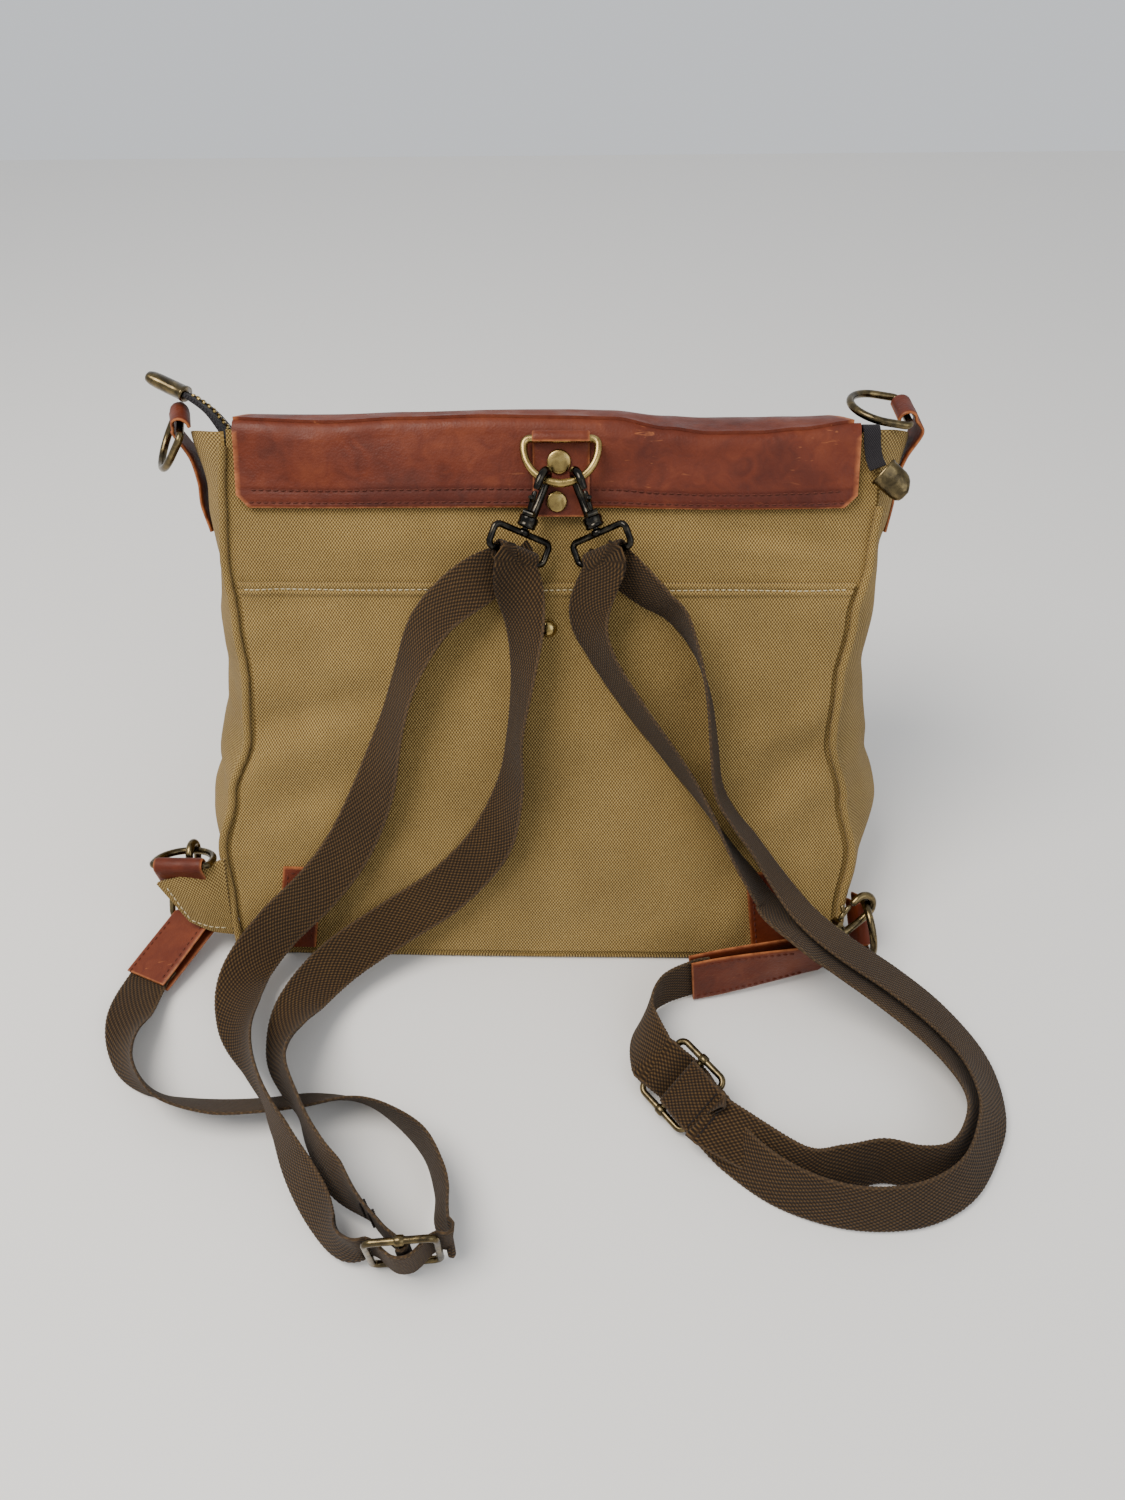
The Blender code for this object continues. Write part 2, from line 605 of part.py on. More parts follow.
RIGHT_OUTER = (
    ((90, -181, 11.6), (0.33, 0.42, 0.84)), ((108, -197, 12.2), (0.18, 0.35, 0.92)),
    ((130, -207, 13.5), (0.06, 0.30, 0.95)), ((152, -209, 13.5), (-0.01, 0.32, 0.95)),
    ((173, -205, 13.5), (-0.14, 0.35, 0.93)), ((191, -194, 13.5), (-0.30, 0.32, 0.90)),
    ((203, -177, 13.5), (-0.46, 0.25, 0.85)), ((210, -158, 13.5), (-0.66, 0.08, 0.75)),
    ((208, -133, 13.5), (-0.77, -0.24, 0.60)), ((194.5, -113, 18.4), (-0.67, -0.57, 0.48)),
    ((174, -99, 28.0), (-0.48, -0.79, 0.39)), ((149, -86, 38.6), (-0.34, -0.88, 0.33)),
    ((132, -74.5, 47.5), (-0.31, -0.90, 0.31)), ((119, -60.5, 57.6), (-0.27, -0.91, 0.32)),
    ((105.5, -49.5, 73.7), (-0.15, -0.93, 0.32)), ((96, -43, 83.8), (-0.11, -0.93, 0.35)),
    ((88, -36, 97.0), (-0.20, -0.90, 0.38)), ((85, -27, 116.2), (-0.21, -0.88, 0.42)),
    ((82, -16, 136.3), (-0.13, -0.90, 0.43)), ((76, -6, 156.0), (0.03, -0.87, 0.48)),
    ((66, 3, 172.6), (0.28, -0.70, 0.66)), ((54, 7, 182), (0.62, -0.58, 0.52)))
RIGHT_INNER = (
    ((23, 4, 175), (0.75, -0.5, 0.42)), ((29, -6, 157.1), (0.46, -0.64, 0.61)),
    ((46, -18, 133.5), (0.37, -0.68, 0.63)), ((67, -31, 108.4), (0.29, -0.74, 0.61)),
    ((81, -40, 89.6), (0.16, -0.84, 0.53)), ((91, -47, 74.4), (0.02, -0.90, 0.44)),
    ((102.5, -57, 60.2), (-0.15, -0.93, 0.33)), ((114, -66, 47.2), (-0.37, -0.83, 0.41)),
    ((126.5, -86, 47.6), (-0.37, -0.84, 0.39)), ((144, -92.5, 36.7), (-0.31, -0.89, 0.34)),
    ((169, -107, 26.3), (-0.49, -0.77, 0.40)), ((188.5, -121, 17.7), (-0.68, -0.54, 0.49)),
    ((201, -139, 13.5), (-0.76, -0.26, 0.60)), ((204, -159, 13.5), (-0.66, 0.07, 0.75)),
    ((197, -175, 13.5), (-0.38, 0.25, 0.89)), ((185, -187, 13.5), (-0.14, 0.29, 0.95)),
    ((170, -189, 13.5), (0.02, 0.25, 0.97)), ((154, -187, 14.0), (0.01, 0.33, 0.94)),
    ((137, -191, 14.5), (-0.04, 0.39, 0.92)), ((117, -192, 15.0), (-0.01, 0.41, 0.91)))


def slider_frame(centre, direction, width):
    """X runs along the webbing to its sewn side, Y along the centre bar, Z to the side over which
    the free webbing passes the bar."""
    x = Vector(direction).normalized()
    y = Vector(width) - x * Vector(width).dot(x)
    y.normalize()
    matrix = Matrix((x, y, -x.cross(y))).transposed().to_4x4()
    matrix.translation = centre
    return matrix


def build_slider(name, frame):
    half_x, half_y, corner = 14.5, 15.6, 3.5
    outline = []
    for cx, cy, start in ((half_x - corner, half_y - corner, 0), (-half_x + corner, half_y - corner, 90),
                          (-half_x + corner, -half_y + corner, 180), (half_x - corner, -half_y + corner, 270)):
        for k in range(4):
            angle = math.radians(start + 30 * k)
            outline.append((cx + corner * math.cos(angle), cy + corner * math.sin(angle)))
    body = wire(name, [frame @ Vector((x * MM, y * MM, 0)) for x, y in outline], 1.6 * MM, "gunmetal", closed=True)
    bar = wire(name + "_bar", [frame @ Vector((0, y * MM, 0)) for y in (-17.6, 0, 17.6)], 1.45 * MM, "gunmetal")
    return join_pieces(body, bar)


def over_eye(centre, bar, first, last):
    """The webbing's turn over an eye's lower bar, from the side of first to the side of last."""
    radius = 1.6 * MM + GAP + WEBBING_THICK / 2 + 1.2 * MM
    side = (last - first) - bar * (last - first).dot(bar)
    side -= Z_AXIS * side.dot(Z_AXIS)
    side = (side - bar * side.dot(bar)).normalized()
    up = bar.cross(side)
    if up.z < 0:
        up = -up
    arc = [centre - side * radius * math.cos(math.pi * k / 6) + up * radius * math.sin(math.pi * k / 6)
           for k in range(7)]
    below = -up * 4 * MM
    return [arc[0] + below] + arc + [arc[-1] + below]


def build_strap(side, name, tail, outer, inner, slider, eye_frame):
    """One shoulder strap: leather end, slider, outer leg, hook eye, inner leg and sewn end."""
    bar_centre, bar = eye_bar(eye_frame, TOP_EYE_TURN * side)
    across = slider.to_3x3() @ Vector((0, 1, 0))
    points = [Vector(p) * MM for p, _ in tail]
    widths = [Vector(w) for _, w in tail]
    sewn_in = (points[2] - points[0]).normalized() * 10 * MM
    points = [points[2] - sewn_in] + points[2:]
    widths = [widths[2]] + widths[2:]

    def add(path, directions):
        points.extend(path)
        widths.extend(directions)

    add([slider @ Vector((a * MM, 0, b * MM)) for a, b in THREAD], [across] * len(THREAD))
    add([Vector(p) * MM for p, _ in outer], [Vector(w) for _, w in outer])
    direction = bar if bar.x > 0 else -bar
    turn = over_eye(bar_centre, direction, Vector(outer[-1][0]) * MM, Vector(inner[0][0]) * MM)
    first_turn = len(points)
    add(turn, [direction] * len(turn))
    add([Vector(p) * MM for p, _ in inner], [Vector(w) for _, w in inner])
    sewn = SEWN_LEFT if side < 0 else SEWN_RIGHT
    add([slider @ Vector((a * MM, 0, b * MM)) for a, b in sewn], [across] * len(sewn))
    breadths = [WEBBING_WIDTH] * len(points)
    for k in range(first_turn, first_turn + len(turn)):
        breadths[k] = WEBBING_WIDTH - 3 * MM
    return ribbon(name, points, widths, WEBBING_THICK, "webbing", width=breadths)


# The lower D-rings: bar centre, bar direction, bow direction, direction and lengths of the tab's tails
CORNERS = {
    "left": (Vector((-188.5, -50.3, 54)) * MM, X_AXIS, Vector((0, 0.914, -0.406)),
             Vector((0, 0.25, -0.97)), (11 * MM, 11 * MM)),
    "right": (Vector((168.7, -51.8, 17)) * MM, Vector((-0.16, 0.43, 0.89)), Vector((0.043, -0.896, 0.441)),
              Vector((-0.45, 0.80, -0.40)), (11 * MM, 7 * MM)),
}
# The lower hooks: middle of the eye's bar, axis towards the bow, side away from the gate, bar direction
BOTTOM_HOOKS = {
    "left": (Vector((-188.5, -52, 14)) * MM, Vector((0, 0.552, 0.834)), Vector((0, 0.834, -0.552)),
             Vector((0.9, -0.35, 0.1))),
    "right": (Vector((139, -74.5, 18)) * MM, Vector((0.738, 0.511, 0.444)), Vector((0.495, -0.039, -0.778)),
              Vector((-0.366, -0.253, 0.896))),
}
EYE_DROP = 13.6 * MM


def bottom_hook_frame(name):
    """The frame of a lower hook and the turn of its eye about the hook's axis."""
    eye, axis, away, bar = BOTTOM_HOOKS[name]
    axis = axis.normalized()
    frame = frame_at(eye + axis * EYE_DROP, away, axis)
    flat = frame.to_3x3().transposed() @ bar
    return frame, math.atan2(flat.y, flat.x)


def build_leather_end(name, tail, hook_frame, eye_turn):
    """The folded leather at the strap's foot, from the hook's eye to past the webbing's end."""
    centre, bar = eye_bar(hook_frame, eye_turn)
    end = Vector(tail[2][0]) * MM
    width_end = Vector(tail[2][1]).normalized()
    if bar.dot(width_end) < 0:
        bar = -bar
    heading = end - centre
    forward = (heading - bar * heading.dot(bar)).normalized()
    side = bar.cross(forward)
    radius = 1.6 * MM + GAP + 0.75 * MM + 0.5 * MM
    narrow = WEBBING_THICK / 2 + 0.75 * MM + 3 * GAP
    inner = []
    outer = []
    directions = []
    for k in range(5):
        f = 0.12 + 0.88 * k / 4
        width = bar.lerp(width_end, min(1.0, 1.4 * f)).normalized()
        across = width.cross(heading).normalized()
        gap = radius + (narrow - radius) * f
        middle = centre + heading * f
        outer.append(middle + across * gap)
        inner.append(middle - across * gap)
        directions.append(width)
    bend = [centre + side * radius * math.cos(math.pi * k / 6) - forward * radius * math.sin(math.pi * k / 6)
            for k in range(7)]
    points = list(reversed(outer)) + bend + inner
    widths = list(reversed(directions)) + [bar] * 7 + directions
    return ribbon(name, points, widths, 1.5 * MM, "leather", width=26 * MM, samples=1)


# ---------------------------------------------------------------- flap, zip and front
FLAP_HINGE = back_line(1.0) + OUT_PANEL * 2.2 * MM + UP_PANEL * 4.0 * MM


def flap_path():
    """The closed flap's outer line from its hinge over the mouth and down the front."""
    top = FLAP_HINGE + ACROSS_MOUTH * 1.6 * MM
    points = [top]
    for across, up in ((16, 3), (36, 3), (57, 0), (70, -12)):
        points.append(top + (ACROSS_MOUTH * across + UP_PANEL * up) * MM)
    for t, out in ((0.84, 20), (0.74, 22), (0.62, 23), (0.5, 25), (0.38, 26), (0.27, 25)):
        points.append(front_line(t) + Vector((0, out * MM, 0)))
    return points


# How much narrower the flap is on each side where it passes the side rings
NECK = 11 * MM


def build_flap():
    path = smooth_path(flap_path(), 2)
    rows = []
    count = len(path)
    for k, point in enumerate(path):
        ratio = k / (count - 1)
        half = 148 * MM + 6 * MM * math.sin(math.pi * ratio) - max(0.0, ratio - 0.9) * 120 * MM
        half -= NECK * math.sin(math.pi * min(1.0, ratio / 0.42))
        rows.append([Vector((x, point.y, point.z)) for x in np.linspace(-half, half, 9)])
    flap = sheet("flap", rows, LEATHER, "leather")
    apply_modifiers(flap)
    move_origin(flap, FLAP_HINGE)
    outer = flap_path()
    for side, name in ((-1, "closure_strap_left"), (1, "closure_strap_right")):
        line = [Vector((side * 88 * MM, p.y + 2.4 * MM, p.z)) for p in outer[6:]]
        tip = line[-1] + Vector((0, -9 * MM, -34 * MM))
        strap = ribbon(name, line + [tip], X_AXIS, 2.0 * MM, "leather", width=20 * MM)
        move_origin(strap, FLAP_HINGE)
        middle = smooth_path(line, 2)
        seat = middle[-4]
        slope = (middle[-5] - middle[-3]).normalized()
        out = X_AXIS.cross(slope).normalized()
        if out.y < 0:
            out = -out
        buckle_frame = frame_at(seat + out * 2.6 * MM, X_AXIS, slope)
        build_buckle(name.replace("closure_strap", "closure_buckle"), buckle_frame)


def build_buckle(name, frame):
    """A centre-bar buckle with its prong, fast on the flap's strap."""
    half_x, half_z, corner = 14.5, 11.5, 3.0
    outline = []
    for cx, cz, start in ((half_x - corner, half_z - corner, 0), (-half_x + corner, half_z - corner, 90),
                          (-half_x + corner, -half_z + corner, 180), (half_x - corner, -half_z + corner, 270)):
        for k in range(4):
            angle = math.radians(start + 30 * k)
            outline.append((cx + corner * math.cos(angle), cz + corner * math.sin(angle)))
    body = wire(name, [frame @ Vector((x * MM, 0, z * MM)) for x, z in outline], 1.5 * MM, "brass", closed=True)
    prong = wire(name + "_prong", [frame @ Vector((0, 0, z * MM)) for z in (-12.2, 0, 12.2)], 1.1 * MM, "brass")
    join_pieces(body, prong)
    move_origin(body, FLAP_HINGE)
    return body


def mouth_middle(x, drop, across):
    """Point inside the mouth: drop below its rim, across from the back panel."""
    point = back_line(1.0) + ACROSS_MOUTH * across - UP_PANEL * drop
    return Vector((x, point.y, point.z))


ZIP_DROP = 7.5 * MM
ZIP_HALF = 148 * MM


def build_zip():
    middle = MOUTH_DEPTH / 2
    for name, inner, outer in (("zip_tape_back", middle - 3.0 * MM, middle - 17 * MM),
                               ("zip_tape_front", middle + 3.0 * MM, middle + 17 * MM)):
        centre = (inner + outer) / 2
        path = [mouth_middle(x, ZIP_DROP, centre) for x in np.linspace(-ZIP_HALF, ZIP_HALF, 7)]
        ribbon(name, path, ACROSS_MOUTH, 0.9 * MM, "zip_tape", width=abs(outer - inner), samples=1)
    path = [mouth_middle(x, ZIP_DROP, middle) for x in np.linspace(-ZIP_HALF, ZIP_HALF, 7)]
    ribbon("zip_teeth", path, ACROSS_MOUTH, 2.4 * MM, "brass", width=5.2 * MM, samples=1)
    seat = mouth_middle(ZIP_HALF - 16 * MM, ZIP_DROP - 3.3 * MM, middle)
    frame = frame_at(seat, X_AXIS, UP_PANEL)
    slider = box("zip_slider", (15 * MM, 9 * MM, 3.2 * MM), "brass", frame, 0.8 * MM)
    move_origin(slider, seat)
    pull_seat = seat + UP_PANEL * 3.4 * MM
    plate = frame_at(pull_seat - X_AXIS * 13 * MM, X_AXIS, UP_PANEL)
    pull = box("zip_pull", (28 * MM, 6 * MM, 1.4 * MM), "brass", plate, 0.4 * MM)
    move_origin(pull, pull_seat)

    left = [mouth_middle(-ZIP_HALF - 3 * GAP, ZIP_DROP, middle), mouth_middle(-157 * MM, 1 * MM, middle),
            mouth_middle(-166 * MM, -10 * MM, middle), mouth_middle(-177 * MM, -18 * MM, middle)]
    ribbon("zip_tail_left", left, ACROSS_MOUTH, 2.4 * MM, "zip_tape", width=[28 * MM, 24 * MM, 17 * MM, 13 * MM],
           samples=2)
    tip = mouth_middle(-198 * MM, -28 * MM, middle)
    direction = (tip - left[-1]).normalized()
    end_cap("zip_cap_left", left[-1] + direction * 0.5 * MM, direction, ACROSS_MOUTH, 21 * MM)
    right = [mouth_middle(154 * MM, 4.0 * MM, 12 * MM), mouth_middle(155 * MM, 0.0 * MM, 7 * MM),
             mouth_middle(155.5 * MM, -2.0 * MM, 2.0 * MM), on_back(156 * MM, 273.6 * MM, 0.9 * MM),
             on_back(156.5 * MM, 271 * MM, 1.5 * MM), on_back(157 * MM, 265 * MM, 1.5 * MM),
             on_back(158 * MM, 259 * MM, 2.5 * MM), on_back(159.5 * MM, 254.5 * MM, 5.0 * MM)]
    diagonal = (UP_PANEL + X_AXIS * 2).normalized()
    sides = [X_AXIS] * 6 + [(X_AXIS * 4 + UP_PANEL).normalized(), diagonal]
    ribbon("zip_tail_right", right, sides, 0.8 * MM, "zip_tape", width=8 * MM, samples=1)
    down = (X_AXIS * 0.72 - UP_PANEL * 0.62 + OUT_PANEL * 0.15).normalized()
    end_cap("zip_cap_right", right[-1] + down * 2.2 * MM + OUT_PANEL * 1.5 * MM, down, diagonal, 16 * MM)


def end_cap(name, base, direction, across, length):
    """A pressed brass cap on the end of the zip: a flattened tube with a rounded tip."""
    rings = []
    for z, grow in ((0.0, 1.0), (0.72, 1.0), (0.9, 0.8), (1.0, 0.35)):
        rings.append((length * z, 7.2 * MM * grow, 3.6 * MM * (0.55 + 0.45 * grow)))
    frame = frame_at(base, across, direction)
    bm = bmesh.new()
    loops = []
    for z, a, b in rings:
        loops.append([bm.verts.new(frame @ Vector((a * math.cos(2 * math.pi * k / 14),
                                                   b * math.sin(2 * math.pi * k / 14), z))) for k in range(14)])
    for low, high in zip(loops, loops[1:]):
        for k in range(14):
            j = (k + 1) % 14
            bm.faces.new((low[k], low[j], high[j], high[k]))
    bm.faces.new(list(reversed(loops[0])))
    bm.faces.new(loops[-1])
    return place(name, mesh_from_bmesh(name, bm), "brass")


def build_front():
    """The bellows pocket under the flap, with the sockets of the closure studs on it."""
    rows = []
    for t in (0.08, 0.12, 0.2, 0.3, 0.4, 0.5, 0.6):
        line = front_line(t)
        grow = 0.25 if t < 0.1 else 1.0
        swell = FRONT_BULGE * 0.4
        row = []
        for x, out in ((118, 1.2), (116, 8), (108, 14), (70, 16), (35, 16), (0, 16), (-35, 16), (-70, 16),
                       (-108, 14), (-116, 8), (-118, 1.2)):
            lift = swell * (1 - (x * MM / FRONT_HALF) ** 2)
            depth = 0.6 + (out - 0.6) * grow
            row.append(Vector((x * MM, line.y + lift + depth * MM, line.z)))
        rows.append(row)
    sheet("front_pocket", rows, CANVAS * 0.7, "canvas")


# ---------------------------------------------------------------- side and corner rings
def gusset_middle(t, side, out):
    """Point on the middle line of a gusset, out from its surface."""
    point, gusset, depth, _, _ = section(t, 0.0)
    return gusset(side, 0.5) + X_AXIS * side * out


def build_side_rings():
    """Leather tabs on the gussets with the two upper D-rings."""
    for side, name in ((-1, "left"), (1, "right")):
        depth_axis = Vector((side * 0.3, 0.95, 0.0)).normalized() if side < 0 else Vector((0.0, 1.0, 0.0))
        rise = 6.5 * MM if side < 0 else 10 * MM
        top = gusset_middle(1.0, side, 3.6 * MM if side < 0 else -4.0 * MM) + Z_AXIS * rise
        bar_frame = frame_at(top, depth_axis, Z_AXIS)
        if side < 0:
            reach = Vector((-0.55, 0, -0.83))
        else:
            reach = Vector((-0.985, 0, 0.17))
        ring = d_ring("side_ring_" + name, frame_at(top, depth_axis, reach), 16.0 * MM, 27 * MM, "gunmetal")
        move_origin(ring, top)
        radius = RING_WIRE + GAP + 1.9 * MM
        outward = X_AXIS * side
        points = []
        for k in range(7):
            angle = math.radians(180 * k / 6)
            points.append(top + outward * (-radius * math.cos(angle)) + Z_AXIS * radius * math.sin(angle))
        if side < 0:
            points.append(top + outward * radius - Z_AXIS * 4 * MM)
        else:
            points.append(gusset_middle(1.0, side, 4.2 * MM) + Z_AXIS * 3 * MM)
        for t in (0.95, 0.9, 0.84, 0.77, 0.7):
            points.append(gusset_middle(t, side, 3.0 * MM))
        widths = [depth_axis] * 8 + [ACROSS_MOUTH] * 5
        ribbon("side_tab_" + name, points, widths, 1.6 * MM, "leather", width=20 * MM, samples=1)


def build_corner_rings():
    """Leather tabs at the foot of each side, with the lower D-rings that take the strap hooks."""
    for name in ("left", "right"):
        bar, axis, reach, tail, lengths = CORNERS[name]
        ring = d_ring("corner_ring_" + name, frame_at(bar, axis, reach), 14.8 * MM, 21 * MM, "gunmetal")
        move_origin(ring, bar)
        across = axis.normalized()
        tail = tail - across * tail.dot(across)
        leather_loop("corner_tab_" + name, frame_at(bar, across, -tail), RING_WIRE + 2 * GAP, 1.6 * MM,
                     lengths[0], lengths[1], 25 * MM)


def build_all():
    build_body()
    build_welts()
    build_back_details()
    build_centre_hardware()
    build_side_rings()
    build_flap()
    build_zip()
    build_front()
    for side, name in ((-1, "left"), (1, "right")):
        frame = top_hook_frame(side)
        body = hook_parts("top_hook_" + name, frame, TOP_EYE_TURN * side)
        move_origin(body, frame.translation)
    hooks = {}
    for name in ("left", "right"):
        frame, turn = bottom_hook_frame(name)
        body = hook_parts("bottom_hook_" + name, frame, turn)
        move_origin(body, frame.translation)
        hooks[name] = (frame, turn)
    build_corner_rings()
    build_leather_end("strap_end_left", LEFT_TAIL, *hooks["left"])
    build_leather_end("strap_end_right", RIGHT_TAIL, *hooks["right"])
    left_slider = slider_frame(SLIDER_LEFT, SLIDER_LEFT_ALONG, SLIDER_LEFT_WIDTH)
    right_slider = slider_frame(SLIDER_RIGHT, SLIDER_RIGHT_ALONG, SLIDER_RIGHT_WIDTH)
    build_slider("slider_left", left_slider)
    build_slider("slider_right", right_slider)
    build_strap(-1, "webbing_left", LEFT_TAIL, LEFT_OUTER, LEFT_INNER, left_slider, top_hook_frame(-1))
    build_strap(1, "webbing_right", RIGHT_TAIL, RIGHT_OUTER, RIGHT_INNER, right_slider, top_hook_frame(1))


build_all()
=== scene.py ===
"""Looks of the canvas and leather messenger bag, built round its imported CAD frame. Metres, +Z up."""

import json
import math

import bpy
import numpy as np
from mathutils import Matrix, Vector, noise

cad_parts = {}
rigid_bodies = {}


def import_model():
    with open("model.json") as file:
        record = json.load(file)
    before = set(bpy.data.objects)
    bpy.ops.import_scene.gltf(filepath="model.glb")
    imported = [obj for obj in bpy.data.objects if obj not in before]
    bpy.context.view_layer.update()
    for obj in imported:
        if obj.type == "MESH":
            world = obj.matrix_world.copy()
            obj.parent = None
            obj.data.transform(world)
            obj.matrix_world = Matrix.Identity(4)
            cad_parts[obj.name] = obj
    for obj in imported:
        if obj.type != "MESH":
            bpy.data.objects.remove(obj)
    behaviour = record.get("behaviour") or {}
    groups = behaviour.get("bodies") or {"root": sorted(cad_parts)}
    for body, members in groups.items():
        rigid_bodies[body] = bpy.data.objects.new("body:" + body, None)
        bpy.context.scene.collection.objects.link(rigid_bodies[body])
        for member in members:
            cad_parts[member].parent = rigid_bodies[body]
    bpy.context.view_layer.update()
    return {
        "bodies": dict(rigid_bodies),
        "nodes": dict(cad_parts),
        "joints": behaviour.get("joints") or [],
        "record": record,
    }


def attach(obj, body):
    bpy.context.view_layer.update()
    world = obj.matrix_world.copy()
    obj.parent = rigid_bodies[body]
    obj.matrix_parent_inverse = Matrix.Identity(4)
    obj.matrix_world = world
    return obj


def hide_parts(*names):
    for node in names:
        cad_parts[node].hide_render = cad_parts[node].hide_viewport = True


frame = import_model()
MM = 0.001

# ---------------------------------------------------------------- the bag's dimensions, as in the CAD
LEAN = math.radians(27.0)
PANEL_HEIGHT = 272 * MM
MOUTH_DEPTH = 46 * MM
BACK_BULGE = 4.0 * MM
FRONT_BULGE = 12.0 * MM
FRONT_HALF = 150 * MM
SEAM_LEFT = (161, 164, 167, 160, 150, 149, 152, 155, 154, 152)
SEAM_RIGHT = (152, 154, 158, 152, 145, 147, 152, 158, 161, 158)
GUSSET_OUT = (12, 24, 27, 25, 23, 22, 20, 17, 18, 26)
POCKET_TOP = 200 * MM
STRIP_FOOT = 236 * MM
RING_WIRE = 1.9 * MM
ZIP_DROP = 7.5 * MM
ZIP_HALF = 148 * MM

X_AXIS, Z_AXIS = Vector((1, 0, 0)), Vector((0, 0, 1))
UP_PANEL = Vector((0, math.sin(LEAN), math.cos(LEAN)))
OUT_PANEL = Vector((0, -math.cos(LEAN), math.sin(LEAN)))
ACROSS_MOUTH = -OUT_PANEL


# ---------------------------------------------------------------- camera, lights and floor
def add_camera():
    data = bpy.data.cameras.new("camera")
    data.lens = 27.05
    data.sensor_width = 36
    data.clip_start = 0.01
    camera = bpy.data.objects.new("camera", data)
    bpy.context.scene.collection.objects.link(camera)
    pitch, yaw, roll = math.radians(41), math.radians(-2.0), math.radians(-1.0)
    ahead = Vector((math.sin(yaw) * math.cos(pitch), math.cos(yaw) * math.cos(pitch), -math.sin(pitch)))
    right = ahead.cross(Z_AXIS).normalized()
    up = right.cross(ahead)
    right, up = right * math.cos(roll) + up * math.sin(roll), up * math.cos(roll) - right * math.sin(roll)
    turn = Matrix((right, up, -ahead)).transposed().to_4x4()
    turn.translation = Vector((0.025, -0.447, 0.48))
    camera.matrix_world = turn
    bpy.context.scene.camera = camera


def add_light(name, place, target, size, power, colour):
    data = bpy.data.lights.new(name, "AREA")
    data.shape = "DISK"
    data.size = size
    data.energy = power
    data.color = colour
    light = bpy.data.objects.new(name, data)
    bpy.context.scene.collection.objects.link(light)
    light.location = place
    light.rotation_euler = (Vector(target) - Vector(place)).to_track_quat("-Z", "Y").to_euler()


def add_stage():
    world = bpy.data.worlds.new("studio")
    bpy.context.scene.world = world
    world.use_nodes = True
    background = world.node_tree.nodes["Background"]
    background.inputs["Color"].default_value = (0.93, 0.96, 1.0, 1)
    background.inputs["Strength"].default_value = 0.80
    add_light("key", (-0.55, -0.35, 1.35), (0, 0, 0.05), 0.9, 22, (1.0, 0.95, 0.88))
    add_light("fill", (0.9, -0.9, 0.9), (0, 0, 0.1), 1.2, 6, (0.92, 0.96, 1.0))
    size = 1.6
    mesh = bpy.data.meshes.new("floor")
    mesh.from_pydata([(-size, -size, 0), (size, -size, 0), (size, size, 0), (-size, size, 0)], [],
                     [(0, 1, 2, 3)])
    floor = bpy.data.objects.new("floor", mesh)
    bpy.context.scene.collection.objects.link(floor)
    material = bpy.data.materials.new("pale_floor")
    material.use_nodes = True
    shader = material.node_tree.nodes["Principled BSDF"]
    shader.inputs["Base Color"].default_value = (0.80, 0.78, 0.75, 1)
    shader.inputs["Roughness"].default_value = 0.5
    mesh.materials.append(material)


add_camera()
add_stage()


# ---------------------------------------------------------------- materials
class Nodes:
    """A material's node tree, with short ways to add the nodes used here."""

    def __init__(self, name, roughness, metallic=0.0):
        self.material = bpy.data.materials.new(name)
        self.material.use_nodes = True
        self.tree = self.material.node_tree
        self.shader = self.tree.nodes["Principled BSDF"]
        self.shader.inputs["Roughness"].default_value = roughness
        self.shader.inputs["Metallic"].default_value = metallic
        self.shader.inputs["Specular IOR Level"].default_value = 0.5 if metallic else 0.22

    def add(self, kind, **settings):
        node = self.tree.nodes.new(kind)
        for key, value in settings.items():
            setattr(node, key, value)
        return node

    def link(self, source, target):
        if isinstance(source, (int, float)):
            target.default_value = source
        elif isinstance(source, tuple):
            target.default_value = (*source, 1.0) if len(target.default_value) == 4 else source
        else:
            self.tree.links.new(source, target)

    def attribute(self, name):
        return self.add("ShaderNodeAttribute", attribute_name=name)

    def math(self, operation, a, b=0.0, clamp=False):
        node = self.add("ShaderNodeMath", operation=operation, use_clamp=clamp)
        self.link(a, node.inputs[0])
        self.link(b, node.inputs[1])
        return node.outputs[0]

    def vector(self, operation, a, b):
        node = self.add("ShaderNodeVectorMath", operation=operation)
        self.link(a, node.inputs[0])
        self.link(b, node.inputs[1])
        return node.outputs[0]

    def noise(self, vector, scale, detail=2.0, distortion=0.0, output="Fac"):
        node = self.add("ShaderNodeTexNoise")
        self.link(vector, node.inputs["Vector"])
        node.inputs["Scale"].default_value = scale
        node.inputs["Detail"].default_value = detail
        node.inputs["Distortion"].default_value = distortion
        return node.outputs[output]

    def ramp(self, factor, stops):
        node = self.add("ShaderNodeValToRGB")
        while len(node.color_ramp.elements) < len(stops):
            node.color_ramp.elements.new(0.5)
        for element, (position, colour) in zip(node.color_ramp.elements, stops):
            element.position = position
            element.color = (*colour, 1.0)
        self.link(factor, node.inputs[0])
        return node.outputs[0]

    def mix(self, factor, a, b, blend="MIX"):
        node = self.add("ShaderNodeMix", data_type="RGBA", blend_type=blend)
        self.link(factor, node.inputs[0])
        self.link(a, node.inputs[6])
        self.link(b, node.inputs[7])
        return node.outputs[2]

    def bump(self, height, strength, distance):
        node = self.add("ShaderNodeBump")
        node.inputs["Strength"].default_value = strength
        node.inputs["Distance"].default_value = distance
        self.link(height, node.inputs["Height"])
        self.link(node.outputs[0], self.shader.inputs["Normal"])

    def wave(self, value, pitch):
        return self.math("COSINE", self.math("MULTIPLY", value, 2 * math.pi / pitch))


